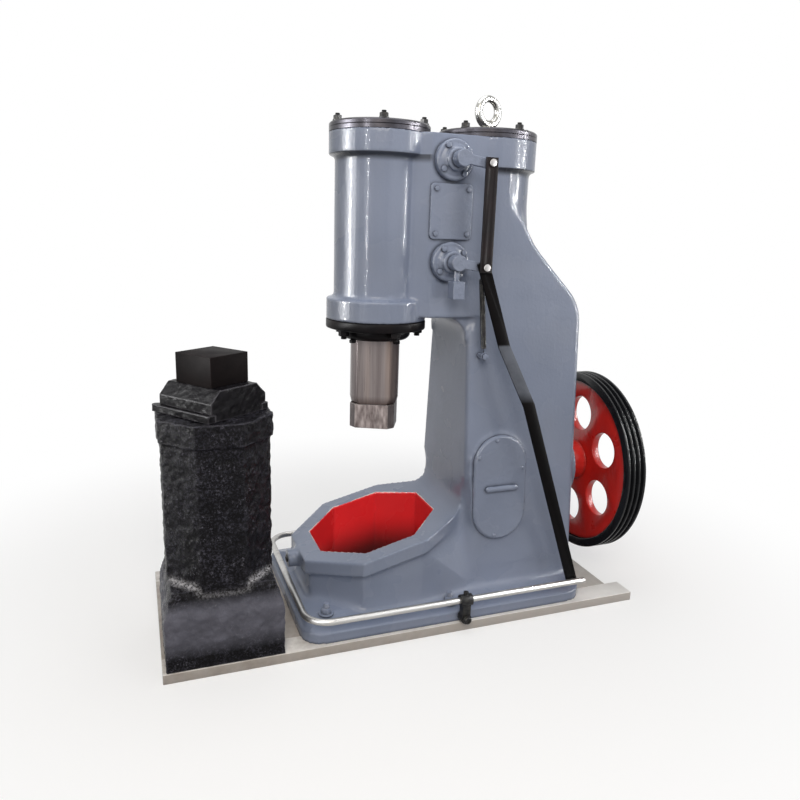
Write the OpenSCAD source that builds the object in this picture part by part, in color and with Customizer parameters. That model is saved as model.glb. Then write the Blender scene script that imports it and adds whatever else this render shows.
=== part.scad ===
// Pneumatic forging hammer, two-piece type: a cast frame with its ram cylinder and pump cylinder,
// and a separate anvil, both standing on one bed plate.
// The origin is on the ram axis at the underside of the bed. X runs from the ram to the flywheel, Z is up.
// Heights are given above the top of the bed, unless a comment says otherwise.

/* [Bed] */
// Thickness of the bed plate and of its side rails
bed_t = 28; // [20:1:60]
// Length of the bed in front of the ram axis
bed_front = 652; // [640:1:800]
// Length of the deck plate behind the ram axis
bed_rear = 751; // [700:1:800]
// Width over the two side rails
bed_w = 592; // [590:1:700]
// Width of one side rail
rail_w = 74; // [40:1:120]
// How far the rails run on behind the deck plate
rail_tail = 50; // [0:1:120]

/* [Foot of the frame] */
// Foot length in front of the ram axis
foot_front = 280; // [270:1:300]
// Foot length behind the ram axis
foot_rear = 627; // [626:1:690]
// Foot width
foot_w = 568; // [540:1:580]
// Height of the upright edge of the foot
foot_edge = 30; // [29:1:40]
// Further rise of the sloping top of the foot
foot_rise = 20; // [10:1:40]
// Width of the sloping margin of the foot
foot_margin = 80; // [40:1:90]
// Corner radius of the foot, in plan
foot_corner = 60; // [20:1:80]

/* [Column] */
// Front face of the column, behind the ram axis
column_front = 240; // [230:1:255]
// Rear face of the column, behind the ram axis
column_rear = 625; // [590:1:626]
// Column width at its foot
column_w_foot = 404; // [360:1:430]
// Column width at the valve chest
column_w_top = 264; // [262:1:290]
// Rounding of the upright edges of the column
column_round = 45; // [20:1:60]
// Height at which the shoulder starts to round in
shoulder_z = 860; // [820:1:880]
// Radius of the crest of the shoulder
crest_r = 95; // [70:1:120]
// Where the hollow sweep from the shoulder runs out, behind the ram axis
sweep_end = 385; // [375:1:400]
// Straight length of the pump cylinder between the sweep and its flange
sweep_gap = 21; // [10:1:60]
// Height of the throat ceiling over the anvil
throat_z = 885; // [880:1:900]
// Radius of the throat arch
throat_r = 70; // [40:1:90]

/* [Cylinders] */
// Height of the joint faces under the top covers
cylinder_top = 1385; // [1360:1:1400]
// Outside radius of the ram cylinder
ram_cyl_r = 125; // [120:1:130]
// Radius of the top flange of the ram cylinder
top_flange_r = 142; // [138:1:148]
// Height of the top flange of the ram cylinder
top_flange_h = 60; // [40:1:70]
// Radius of the lower flange of the ram cylinder
low_flange_r = 146; // [140:1:150]
// Height of the underside of the lower flange
low_flange_z = 870; // [850:1:878]
// Height of the lower flange
low_flange_h = 60; // [40:1:80]
// Bore radius of the ram cylinder
ram_bore_r = 95; // [90:1:100]
// Pump cylinder axis, behind the ram axis
pump_x = 334; // [325:1:345]
// Outside radius of the pump cylinder
pump_cyl_r = 130; // [125:1:135]
// Radius of the flange of the pump cylinder
pump_flange_r = 146; // [140:1:150]
// Height of the flange of the pump cylinder
pump_flange_h = 82; // [60:1:100]
// Bevel where a flange meets its cylinder
flange_bevel = 6; // [2:1:24]
// Thickness of the two top covers
cover_t = 25; // [16:1:32]
// Bevel on the upper edge of the top covers
cover_bevel = 13; // [2:1:14]
// Where the side walls of the valve chest start, behind the ram axis
chest_front = 104; // [96:1:108]
// Angle at which the chest walls spread from the ram cylinder
chest_turn = 29; // [20:1:40]
// Length of the spreading walls, from inside the ram cylinder
chest_blend = 62; // [40:1:80]
// How far the chest runs into the pump cylinder
chest_lap = 14; // [6:1:24]

/* [Anvil pit] */
// Half width across the flats of the octagonal well
pit_half = 180; // [165:1:190]
// Half width across the flats of the rim outside
rim_half = 237; // [228:1:240]
// Half width across the flats of the pit wall below the rim
pit_wall_half = 222; // [210:1:226]
// Height of the rim on the ram axis
rim_z = 227; // [200:1:240]
// Slope of the rim, rising to the column
rim_tilt = 14.5; // [8:0.5:16]
// Depth of the rim band
rim_band = 43; // [25:1:60]
// Fillet between the rim and the front of the column
rim_fillet = 52; // [30:1:90]
// Half width of the rim where it runs into the column
rim_tail_half = 145; // [120:1:160]
// Radius of the set screw boss on the front of the pit
boss_r = 27; // [20:1:36]
// Height of the set screw boss
boss_z = 133; // [120:1:136]
// Length of the set screw boss
boss_l = 54; // [15:1:58]

/* [Ram and dies] */
// Ram radius
ram_r = 73; // [65:1:80]
// Distance of the guide flats from the ram axis
ram_flat = 56; // [50:1:62]
// Turn of the guide flats and of the upper die, about the ram axis
ram_turn = -22.5; // [-45:0.5:45]
// Height of the lower end of the ram
ram_low = 636; // [620:1:660]
// Air space left over the ram piston at its full lift
ram_cushion = 25; // [10:1:60]
// Height of the piston
piston_h = 60; // [40:1:80]
// Lift of the ram
ram_lift = 170; // [120:1:180]
// Height of the gland plate under the cylinder
gland_plate_t = 26; // [15:1:30]
// Radius of the gland plate
gland_plate_r = 147; // [144:1:150]
// Height of the gland nose
gland_nose_h = 31; // [20:1:40]
// Radius of the gland nose
gland_nose_r = 103; // [98:1:110]
// Width of the upper die over its flats
upper_die_w = 134; // [110:1:136]
// Depth of the upper die over its ends
upper_die_d = 112; // [90:1:120]
// Height of the upper die
upper_die_h = 74; // [50:1:90]
// Height of the tapered lower end of the ram
die_neck_h = 17; // [10:1:30]
// How much smaller the ram is in radius at its lower end
die_neck_taper = 4; // [2:1:8]
// Running clearance of the ram in its gland
ram_gap = 0.4; // [0.3:0.1:1]

/* [Valve gear] */
// Valve spindles, behind the ram axis
valve_x = 167; // [165:1:175]
// Height of the upper valve spindle
upper_valve_z = 1316; // [1300:1:1320]
// Height of the lower valve spindle
lower_valve_z = 1043; // [1030:1:1050]
// Radius of the valve covers
valve_cover_r = 55; // [45:1:58]
// Thickness of the valve covers
valve_cover_t = 23; // [15:1:30]
// Bevels on the valve covers
valve_cover_bevel = 4; // [1:0.5:5]
// Upright wall left below the lower valve cover, before the side walls lean out
valve_land = 8; // [2:1:20]
// Radius of the packing boss on a valve cover
packing_r = 31; // [24:1:36]
// Length of the packing boss
packing_l = 20; // [10:1:26]
// Valve spindle radius
spindle_r = 12; // [9:1:14]
// Lever hub radius
lever_hub_r = 22; // [18:1:26]
// Lever hub length
lever_hub_l = 34; // [28:1:40]
// Reach of the levers, level from spindle to pin
lever_reach = 71; // [60:1:80]
// Drop of the lever pins below their spindles
lever_drop = 10; // [0:1:16]
// Width of the lever arms
lever_w = 26; // [20:1:32]
// Thickness of the lever arms
lever_t = 16; // [12:1:20]
// Radius of the link pins
link_pin_r = 7; // [5:1:8]
// Width of the flat link bars
bar_w = 34; // [28:1:40]
// Thickness of the flat link bars
bar_t = 8; // [5:1:10]
// Length of a link bar past the middle of its pin hole
bar_end = 14; // [12:1:18]
// Side gap between neighbours on a pin
pin_gap = 2; // [1:0.5:3]
// Width of the chest cover plate
chest_cover_w = 126; // [100:1:140]
// Height of the chest cover plate
chest_cover_h = 150; // [110:1:154]
// Thickness of the chest cover plate
chest_cover_t = 10; // [6:1:14]
// Corner radius of the chest cover plate
chest_cover_round = 12; // [4:1:20]
// Width of the square knob under the lower lever
knob_w = 34; // [24:1:40]
// Depth of the square knob
knob_d = 40; // [24:1:44]
// Height of the square knob
knob_h = 48; // [30:1:56]
// Length of the knob stem below the lever hub
knob_stem_l = 28; // [15:1:40]
// Radius of the knob stem
knob_stem_r = 8; // [6:1:10]

/* [Treadle] */
// Diameter of the treadle bar
treadle_d = 19; // [16:1:24]
// Height of the treadle bar
treadle_z = 75; // [72:1:85]
// Width of the treadle, over the centres of its arms
treadle_w = 600; // [598:1:620]
// Front run of the treadle, in front of the ram axis
treadle_front = 272; // [270:1:285]
// Corner radius of the treadle
treadle_corner = 68; // [50:1:90]
// Rear end of the near arm, behind the ram axis
treadle_rear = 608; // [600:1:620]
// Treadle pivot, behind the ram axis
pivot_x = 198; // [180:1:220]
// Height of the treadle pivot
pivot_z = 18; // [16:1:20]
// Radius of the pivot bolts
pivot_r = 8; // [6:1:9]
// Radius of the pivot eye of a clamp
pivot_eye_r = 16; // [14:1:17]
// Length of a treadle clamp along the bar
clamp_l = 36; // [24:1:50]
// Wall of a treadle clamp round the bar
clamp_wall = 8; // [5:1:12]
// Pedal link pin on the treadle, behind the ram axis
pedal_pin_x = 572; // [560:1:590]
// Height of the bend that starts the joggle of the pedal link
joggle_high = 813; // [780:1:840]
// Height of the bend that ends the joggle of the pedal link
joggle_low = 650; // [600:1:680]
// Free play of the pedal link on its lower pin
pedal_play = 1.5; // [1:0.5:3]
// Spring anchor, behind the ram axis
anchor_x = 273; // [265:1:285]
// Height of the spring anchor
anchor_z = 775; // [760:1:790]
// Radius of the spring anchor stud
anchor_r = 7; // [5:1:9]
// Length of the spring anchor stud
anchor_l = 32; // [24:1:40]
// Outside radius of the return spring
spring_r = 8.5; // [6:0.5:10]

/* [Crankcase] */
// Width of the oval crankcase cover
crank_cover_w = 178; // [150:1:190]
// Height of the oval crankcase cover
crank_cover_h = 328; // [280:1:340]
// Thickness of the crankcase cover
crank_cover_t = 14; // [10:1:24]
// Bevel on the edge of the crankcase cover
crank_cover_bevel = 6; // [2:1:9]
// Height of the cast pad that the crankcase cover lies on
crank_pad_h = 4; // [2:1:8]
// Margin of the cast pad round the cover
crank_pad_margin = 4; // [2:1:8]
// Centre of the crankcase cover, behind the ram axis
crank_cover_x = 350; // [345:1:360]
// Length of the cover handle
handle_l = 110; // [80:1:130]
// Radius of the cover handle's bar
handle_r = 9; // [6:1:12]
// Height of the middle of the handle's bar over the cover
handle_lift = 5; // [1:1:5]

/* [Flywheel] */
// Height of the crankshaft
shaft_z = 368; // [350:1:380]
// Crankshaft radius
shaft_r = 32; // [26:1:36]
// Gap between the column and the front face of the flywheel
wheel_gap = 112; // [95:1:120]
// Outside radius of the flywheel
wheel_r = 304; // [280:1:310]
// Width of the flywheel rim
wheel_w = 65; // [62:1:70]
// Radial depth of the flywheel rim
wheel_rim = 28; // [26:1:40]
// Number of belt grooves
groove_n = 3; // [1:1:3]
// Spacing of the belt grooves
groove_pitch = 19; // [18:1:20]
// Depth of the belt grooves
groove_depth = 14; // [8:1:16]
// Web thickness
web_t = 26; // [16:1:30]
// Set-back of the web from the front face of the rim
web_back = 8; // [2:1:16]
// Number of round holes in the web
web_holes = 6; // [3:1:6]
// Radius of the holes in the web
web_hole_r = 58; // [40:1:60]
// Radius of the circle that the holes lie on
web_hole_circle = 168; // [160:1:180]
// Turn of the holes
web_turn = -26.6; // [-60:0.1:60]
// Radius of the wheel hub
wheel_hub_r = 66; // [55:1:70]
// Length of the hub in front of the web
wheel_hub_l = 40; // [10:1:44]
// Radius of the main bearing housing
housing_r = 118; // [100:1:130]
// Length of the main bearing housing
housing_l = 45; // [30:1:50]

/* [Anvil] */
// Anvil axis in front of the ram axis
anvil_x = 489; // [485:1:495]
// Anvil axis to the near side of the ram axis
anvil_y = 140; // [120:1:145]
// Side of the square base of the anvil
anvil_base = 310; // [290:1:320]
// Height of the upright part of the base
anvil_base_h = 140; // [100:1:150]
// Height at which the sloping top of the base reaches the column
anvil_slope_top = 215; // [190:1:260]
// Half width across the flats of the octagonal column
anvil_half = 139; // [130:1:145]
// Height of the underside of the collar
collar_low = 590; // [560:1:620]
// Height of the top of the collar
collar_top = 652; // [640:1:670]
// Half width across the flats of the collar
collar_half = 146; // [142:1:155]
// Side of the square sow block
sow_w = 190; // [180:1:200]
// Height of the sow block
sow_h = 78; // [60:1:90]
// Bevel along the upper edges of the sow block
sow_bevel = 31; // [15:1:32]
// Side of the lower die
lower_die_w = 128; // [100:1:130]
// Height of the lower die
lower_die_h = 78; // [60:1:90]
// Turn of the dies and the sow block
die_turn = 37; // [0:1:45]
// Width of the taper keys under the shoulders of the sow block
key_w = 24; // [18:1:26]
// Height of the taper keys
key_h = 20; // [12:1:24]
// Undercut of the sow block over its keys
key_inset = 14; // [8:1:16]
// How far the keys stand out at their round ends
key_tail = 26; // [0:1:30]

/* [Lifting eye] */
// Outside radius of the ring
eye_r = 46; // [36:1:50]
// Radius of the ring's round section
eye_wire_r = 8; // [6:1:11]
// Radius of the collar under the ring
eye_collar_r = 24; // [18:1:28]
// Height of the collar
eye_collar_h = 18; // [8:1:24]
// Turn of the ring, about its upright shank
eye_turn = 13; // [-45:1:45]

/* [Hidden] */
$fn = 64;

// Running clearance at pins and shafts, and the gap left at a loose seat
fit_gap = 0.05;
seat_gap = 0.3;
// Overlap that makes one casting of neighbouring shapes
bury = 6;
// How far the flank of the pit starts inside the walls that it joins
flank_bury = 2;
// Segments in one rounded corner of the column
corner_steps = 6;
octagon = 8;
half_octant = 180 / octagon;

// Height at which the side walls stop leaning in
taper_top = lower_valve_z - valve_cover_r - valve_land;
wall_top_half = column_w_top / 2;
wall_foot_half = column_w_foot / 2;
wall_lean = atan((wall_foot_half - wall_top_half) / taper_top);
sweep_turn = 45;
sweep_top = cylinder_top - pump_flange_h - sweep_gap;
// Radius at which the crest and the hollow sweep share one tangent, at the angle of the sweep
sweep_r = ((sweep_end - column_rear) * cos(sweep_turn) + (sweep_top - shoulder_z) * sin(sweep_turn))
    / (1 - cos(sweep_turn)) - crest_r;

// Near-side stack from the chest wall outwards, as distances from the middle plane
valve_face = wall_top_half + valve_cover_t;
packing_face = valve_face + packing_l;
hub_back = packing_face + 2 * pin_gap;
arm_back = hub_back + lever_hub_l - lever_t;
arm_face = hub_back + lever_hub_l;
pedal_back = arm_face + pin_gap;
pedal_face = pedal_back + bar_t;
link_back = pedal_face + pin_gap;
link_face = link_back + bar_t;
pin_head_t = 4;
wheel_x = column_rear + wheel_gap;
ram_high = cylinder_top - ram_lift - ram_cushion;
pin_x = valve_x + lever_reach;
lower_pin_z = lower_valve_z - lever_drop;
upper_pin_z = upper_valve_z - lever_drop;

// Pedal link in its own plane: straight seen from the side, joggled outwards to the treadle arm
treadle_half = treadle_w / 2;
pedal_low_face = treadle_half - treadle_d / 2 - pin_gap;
pedal_low_back = pedal_low_face - bar_t;
pedal_run = [pedal_pin_x - pin_x, treadle_z - lower_pin_z];
pedal_length = norm(pedal_run);
pedal_lean = atan2(pedal_run[0], -pedal_run[1]);

clamp_r = treadle_d / 2 + clamp_wall;
pivot_collar = 4;
clamp_t = treadle_w - foot_w - 2 * pivot_collar - 2 * seat_gap;

function wall_half(z) = z < taper_top
    ? wall_foot_half + (wall_top_half - wall_foot_half) * z / taper_top
    : wall_top_half;

function rim_height(x) = rim_z + x * tan(rim_tilt);

function arc(centre, radius, from, to, steps) =
    [for (i = [0 : steps]) centre + radius * [cos(from + (to - from) * i / steps),
        sin(from + (to - from) * i / steps)]];

// Corners of a rounded rectangle from x0 to x1, half_w to each side
function rounded_outline(x0, x1, half_w, r) = concat(
    arc([x1 - r, half_w - r], r, 0, 90, corner_steps),
    arc([x0 + r, half_w - r], r, 90, 180, corner_steps),
    arc([x0 + r, r - half_w], r, 180, 270, corner_steps),
    arc([x1 - r, r - half_w], r, 270, 360, corner_steps));

// Rear outline of the column from the ground up, as points (x, z)
function rear_outline() = concat(
    [[column_rear, 0]],
    arc([column_rear - crest_r, shoulder_z], crest_r, 0, sweep_turn, 5),
    [for (p = arc([sweep_end + sweep_r, sweep_top], sweep_r, 180 + sweep_turn, 180, 7)) p]);

module on_bed() { translate([0, 0, bed_t]) children(); }

// Turns a shape drawn along Z so that it points to the near side
module to_near() { rotate([90, 0, 0]) children(); }

// Turns a shape drawn along Z so that it points to the rear
module to_rear() { rotate([0, 90, 0]) children(); }

// Extrudes an outline drawn as (x, z) over the full width 2 * half_w
module across(half_w) { translate([0, half_w, 0]) to_near() linear_extrude(2 * half_w) children(); }

module octagon_prism(half, h) {
    rotate(half_octant) cylinder(r = half / cos(half_octant), h = h, $fn = octagon);
}

// Column with rounded upright edges, lofted from the foot to the pump cylinder
module column() {
    rear = rear_outline();
    count = 4 * (corner_steps + 1);
    rings = len(rear);
    points = [for (s = rear) for (p = rounded_outline(column_front, s[0], wall_half(s[1]), column_round))
        [p[0], p[1], s[1]]];
    sides = [for (k = [0 : rings - 2]) for (i = [0 : count - 1])
        let (j = (i + 1) % count, a = k * count)
        each [[a + i, a + count + i, a + j], [a + j, a + count + i, a + count + j]]];
    caps = [[for (i = [0 : count - 1]) i], [for (i = [count - 1 : -1 : 0]) (rings - 1) * count + i]];
    polyhedron(points, concat(sides, caps));
}

// Valve chest between the cylinders, with the throat arch under it
module valve_chest() {
    blend_x = chest_front - chest_blend * cos(chest_turn);
    blend_half = wall_top_half - chest_blend * sin(chest_turn);
    out_x = chest_front + (wall_half(throat_z) - wall_top_half) / tan(chest_turn);
    rear = pump_x + chest_lap;
    intersection() {
        linear_extrude(cylinder_top) polygon([for (s = [-1, 1]) each
            [for (p = s < 0 ? [[blend_x, blend_half], [out_x, wall_half(throat_z)], [rear, wall_half(throat_z)]]
                : [[rear, wall_half(throat_z)], [out_x, wall_half(throat_z)], [blend_x, blend_half]])
                [p[0], s * p[1]]]]);
        to_rear() rotate(90) linear_extrude(column_rear)
            polygon([for (s = [-1, 1]) each [for (z = s < 0 ? [throat_z, taper_top, cylinder_top]
                : [cylinder_top, taper_top, throat_z]) [s * wall_half(z), z]]]);
    }
    across(wall_half(throat_z) - column_round / 3)
        polygon(concat([[column_front + column_round, throat_z + bury],
            [column_front - throat_r, throat_z + bury]],
            arc([column_front - throat_r, throat_z - throat_r], throat_r, 90, 0, 8),
            [[column_front + column_round, throat_z - throat_r]]));
}

module ram_cylinder() {
    low_top = low_flange_z + low_flange_h;
    top_low = cylinder_top - top_flange_h;
    rotate_extrude() polygon([[0, low_flange_z], [low_flange_r, low_flange_z], [low_flange_r, low_top],
        [ram_cyl_r, low_top + flange_bevel], [ram_cyl_r, top_low - flange_bevel],
        [top_flange_r, top_low], [top_flange_r, cylinder_top], [0, cylinder_top]]);
}

module pump_cylinder() {
    top_low = cylinder_top - pump_flange_h;
    translate([pump_x, 0, 0]) rotate_extrude() polygon([[0, throat_z + bury], [pump_cyl_r, throat_z + bury],
        [pump_cyl_r, top_low - flange_bevel], [pump_flange_r, top_low], [pump_flange_r, cylinder_top],
        [0, cylinder_top]]);
}

module foot() {
    top = foot_edge + foot_rise;
    half = foot_w / 2;
    intersection() {
        linear_extrude(top) polygon(rounded_outline(-foot_front, foot_rear, half, foot_corner));
        across(half) polygon([[-foot_front, 0], [foot_rear, 0], [foot_rear, top],
            [foot_margin - foot_front, top], [-foot_front, foot_edge]]);
        translate([-foot_front, 0, 0]) to_rear() rotate(90) linear_extrude(foot_front + foot_rear)
            polygon([[-half, 0], [half, 0], [half, foot_edge], [half - foot_margin, top],
                [foot_margin - half, top], [-half, foot_edge]]);
    }
}

module rim_plan() {
    rim_side = rim_half * tan(half_octant);
    rotate(half_octant) circle(r = rim_half / cos(half_octant), $fn = octagon);
    polygon([[0, -rim_half], [rim_side, -rim_half], [column_front + bury, -rim_tail_half],
        [column_front + bury, rim_tail_half], [rim_side, rim_half], [0, rim_half]]);
}

// Slab of the given depth under the tilted rim plane
module under_rim(low, high) {
    x0 = -rim_half - bury;
    x1 = column_front + column_round;
    across(rim_half + bury) polygon([[x0, rim_height(x0) - high], [x1, rim_height(x1) - high],
        [x1, rim_height(x1) - low], [x0, rim_height(x0) - low]]);
}

module pit_wall() {
    rear_height = rim_height(column_front + column_round);
    intersection() {
        linear_extrude(rear_height) rim_plan();
        under_rim(rim_band, 0);
    }
    intersection() {
        octagon_prism(pit_wall_half, rear_height);
        under_rim(rear_height, rim_band - bury / 2);
    }
    centre = [column_front - rim_fillet, rim_height(column_front - rim_fillet) + rim_fillet / cos(rim_tilt)];
    intersection() {
        linear_extrude(centre[1]) rim_plan();
        across(rim_half) polygon(concat(
            [[column_front + column_round, rim_height(column_front) - bury]],
            [centre + rim_fillet * [sin(rim_tilt), -cos(rim_tilt)] - [0, bury]],
            arc(centre, rim_fillet, rim_tilt - 90, 0, 8),
            [[column_front + column_round, centre[1]]]));
    }
    translate([bury - pit_wall_half - boss_l, 0, boss_z]) to_rear() cylinder(r = boss_r, h = boss_l);
}

// Plan of the flank of the pit, from the ram axis back to x, where it is half_w wide to each side
module flank_plan(x, half_w) {
    half = pit_wall_half - flank_bury;
    side = half * tan(half_octant);
    rear_half = half_w - flank_bury;
    polygon([[0, -half], [side, -half], [x, -rear_half], [x, rear_half], [side, half], [0, half]]);
}

// Flank of the pit that spreads from under the rim to the side walls of the column
module pit_flank() {
    foot_top = foot_edge + foot_rise;
    rear = column_front + column_round;
    hull() {
        translate([0, 0, foot_top - bury]) linear_extrude(bury / 2) flank_plan(rear, wall_half(foot_top));
        intersection() {
            linear_extrude(rim_height(rear)) flank_plan(column_front + bury, rim_tail_half);
            under_rim(rim_band + bury, rim_band - bury / 2);
        }
    }
}

module frame_casting() color("slategray") on_bed() difference() {
    union() {
        foot();
        column();
        valve_chest();
        ram_cylinder();
        pump_cylinder();
        pit_wall();
        pit_flank();
        crank_pad();
    }
    translate([0, 0, -1]) octagon_prism(pit_half, throat_z - throat_r);
    translate([0, 0, low_flange_z - 1]) cylinder(r = ram_bore_r, h = cylinder_top - low_flange_z + 2);
}

module bed_deck() color("silver") translate([-bed_front, rail_w - bed_w / 2, 0])
    cube([bed_front + bed_rear, bed_w - 2 * rail_w, bed_t]);

module bed_rail(side) color("silver") translate([-bed_front, side * (bed_w - rail_w) / 2 - rail_w / 2, 0])
    cube([bed_front + bed_rear + rail_tail, rail_w, bed_t]);

module top_cover(radius) color("dimgray") on_bed() translate([0, 0, cylinder_top]) {
    cylinder(r = radius, h = cover_t - cover_bevel);
    translate([0, 0, cover_t - cover_bevel]) cylinder(r1 = radius, r2 = radius - cover_bevel, h = cover_bevel);
}

module ram_cylinder_cover() { top_cover(top_flange_r); }

module pump_cylinder_cover() { translate([pump_x, 0, 0]) top_cover(pump_flange_r); }

module lifting_eye() color("gainsboro") on_bed() translate([pump_x, 0, cylinder_top + cover_t]) {
    cylinder(r = eye_collar_r, h = eye_collar_h);
    translate([0, 0, eye_collar_h + eye_r - eye_wire_r / 2]) rotate(eye_turn) to_near()
        rotate_extrude() translate([eye_r - eye_wire_r, 0]) circle(r = eye_wire_r);
}

// Opening that guides the ram: its round section with the two guide flats
module ram_section(gap) {
    rotate(ram_turn) intersection() {
        circle(r = ram_r + gap);
        square([2 * ram_r + 2, 2 * (ram_flat + gap)], center = true);
    }
}

module gland_plate() color("black") on_bed() translate([0, 0, low_flange_z - gland_plate_t]) difference() {
    cylinder(r = gland_plate_r, h = gland_plate_t);
    translate([0, 0, -1]) linear_extrude(gland_plate_t + 2) ram_section(ram_gap);
}

module gland_nose() color("black") on_bed()
    translate([0, 0, low_flange_z - gland_plate_t - gland_nose_h]) difference() {
        union() {
            cylinder(r1 = gland_nose_r - gland_nose_h / 3, r2 = gland_nose_r, h = gland_nose_h / 3);
            translate([0, 0, gland_nose_h / 3]) cylinder(r = gland_nose_r, h = 2 * gland_nose_h / 3);
        }
        translate([0, 0, -1]) linear_extrude(gland_nose_h + 2) ram_section(ram_gap);
    }

// Valve cover as a turned piece: bevelled disc, shallow step and packing boss, bored for the spindle
module valve_cover(z) color("slategray") on_bed() translate([valve_x, -wall_top_half, z]) to_near() {
    bore = spindle_r + fit_gap;
    step_r = (valve_cover_r + packing_r) / 2;
    top = valve_cover_t + packing_l;
    rotate_extrude() polygon([[bore, 0], [valve_cover_r, 0],
        [valve_cover_r, valve_cover_t - valve_cover_bevel],
        [valve_cover_r - valve_cover_bevel, valve_cover_t], [step_r, valve_cover_t],
        [packing_r + valve_cover_bevel, valve_cover_t + valve_cover_bevel],
        [packing_r, valve_cover_t + 2 * valve_cover_bevel], [packing_r, top - valve_cover_bevel],
        [packing_r - valve_cover_bevel, top], [bore, top]]);
}

module upper_valve_cover() { valve_cover(upper_valve_z); }

module lower_valve_cover() { valve_cover(lower_valve_z); }

// Plate outline with round corners, centred
module round_plate(w, h, r) {
    square([w - 2 * r, h], center = true);
    square([w, h - 2 * r], center = true);
    for (x = [-1, 1], y = [-1, 1]) translate([x * (w / 2 - r), y * (h / 2 - r)]) circle(r = r);
}

module chest_cover() color("slategray") on_bed()
    translate([valve_x, -wall_top_half, (upper_valve_z + lower_valve_z) / 2]) to_near()
        linear_extrude(chest_cover_t) round_plate(chest_cover_w, chest_cover_h, chest_cover_round);

// Outline of the crankcase cover: straight sides with round ends
module crank_outline(margin) {
    end = (crank_cover_h - crank_cover_w) / 2;
    width = crank_cover_w + 2 * margin;
    square([width, 2 * end], center = true);
    for (s = [-1, 1]) translate([0, s * end]) circle(d = width);
}

// Places a shape on the leaning near wall, at height z, with its own Z pointing out of the wall
module on_near_wall(x, z) {
    translate([x, -wall_half(z), z]) rotate([90 - wall_lean, 0, 0]) children();
}

// Cast pad on the near wall for the crankcase cover
module crank_pad() {
    on_near_wall(crank_cover_x, shaft_z) translate([0, 0, -column_round])
        linear_extrude(column_round + crank_pad_h) crank_outline(crank_pad_margin);
}

// Upright edge, then a bevel all round: cones on the round ends and a trapezium between them
module crankcase_cover() color("slategray") on_bed() on_near_wall(crank_cover_x, shaft_z)
    translate([0, 0, crank_pad_h]) {
        end = (crank_cover_h - crank_cover_w) / 2;
        half = crank_cover_w / 2;
        edge = crank_cover_t - crank_cover_bevel;
        linear_extrude(edge) crank_outline(0);
        translate([0, 0, edge]) {
            for (s = [-1, 1]) translate([0, s * end, 0])
                cylinder(r1 = half, r2 = half - crank_cover_bevel, h = crank_cover_bevel);
            across(end) polygon([[-half, 0], [half, 0], [half - crank_cover_bevel, crank_cover_bevel],
                [crank_cover_bevel - half, crank_cover_bevel]]);
        }
    }

// Low cast grip across the cover: a round bar with ball ends, flat where it joins the cover
module crankcase_handle() color("slategray") on_bed() on_near_wall(crank_cover_x, shaft_z)
    translate([0, 0, crank_pad_h + crank_cover_t]) intersection() {
        translate([0, 0, handle_lift]) {
            translate([handle_r - handle_l / 2, 0, 0]) to_rear() cylinder(r = handle_r, h = handle_l - 2 * handle_r);
            for (s = [-1, 1]) translate([s * (handle_l / 2 - handle_r), 0, 0]) sphere(r = handle_r);
        }
        translate([-handle_l, -handle_l, 0]) cube(2 * handle_l);
    }

module bearing_housing() color("slategray") on_bed() translate([column_rear, 0, shaft_z]) to_rear() difference() {
    cylinder(r = housing_r, h = housing_l);
    translate([0, 0, -1]) cylinder(r = shaft_r + fit_gap, h = housing_l + 2);
}

module treadle_pivot(side) color("black") on_bed() translate([pivot_x, side * foot_w / 2, pivot_z])
    rotate([side > 0 ? 180 : 0, 0, 0]) to_near() {
        cylinder(r = pivot_eye_r, h = pivot_collar);
        cylinder(r = pivot_r, h = pivot_collar + clamp_t + 2 * seat_gap);
        translate([0, 0, pivot_collar + clamp_t + 2 * seat_gap]) cylinder(r = 1.7 * pivot_r, h = pivot_r, $fn = 6);
    }

module spring_anchor() color("dimgray") on_bed() on_near_wall(anchor_x, anchor_z) {
    cylinder(r = anchor_r, h = anchor_l);
    translate([0, 0, anchor_l]) cylinder(r = 1.6 * anchor_r, h = pin_head_t);
}

module at_anvil() { on_bed() translate([-anvil_x, -anvil_y, 0]) children(); }

// Outline of the square base, with its sloping top
module anvil_base_outline(half, slope_half) {
    polygon([[-half, 0], [half, 0], [half, anvil_base_h], [slope_half, anvil_slope_top],
        [-slope_half, anvil_slope_top], [-half, anvil_base_h]]);
}

module anvil_block() color("black") at_anvil() {
    half = anvil_base / 2;
    slope_half = anvil_half - bury;
    intersection() {
        across(half) anvil_base_outline(half, slope_half);
        rotate(90) across(half) anvil_base_outline(half, slope_half);
    }
    octagon_prism(anvil_half, collar_top);
    translate([0, 0, collar_low]) octagon_prism(collar_half, collar_top - collar_low);
}

module sow_block() color("black") at_anvil() translate([0, 0, collar_top]) rotate(die_turn) {
    half = sow_w / 2;
    foot_half = half - key_inset;
    across(half) polygon([[-foot_half, 0], [foot_half, 0], [foot_half, key_h], [half, key_h],
        [half, sow_h - sow_bevel], [half - sow_bevel, sow_h], [sow_bevel - half, sow_h],
        [-half, sow_h - sow_bevel], [-half, key_h], [-foot_half, key_h]]);
}

module sow_key(side) color("black") at_anvil() translate([0, 0, collar_top]) rotate(die_turn)
    translate([side * (sow_w / 2 - key_inset + key_w / 2), 0, 0]) linear_extrude(key_h) {
        translate([-key_w / 2, -sow_w / 2]) square([key_w, sow_w + key_tail - key_w / 2]);
        translate([0, sow_w / 2 + key_tail - key_w / 2]) circle(d = key_w);
    }

module lower_die() color("black") at_anvil() translate([0, 0, collar_top + sow_h]) rotate(die_turn)
    translate([-lower_die_w / 2, -lower_die_w / 2, 0]) cube([lower_die_w, lower_die_w, lower_die_h]);

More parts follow.
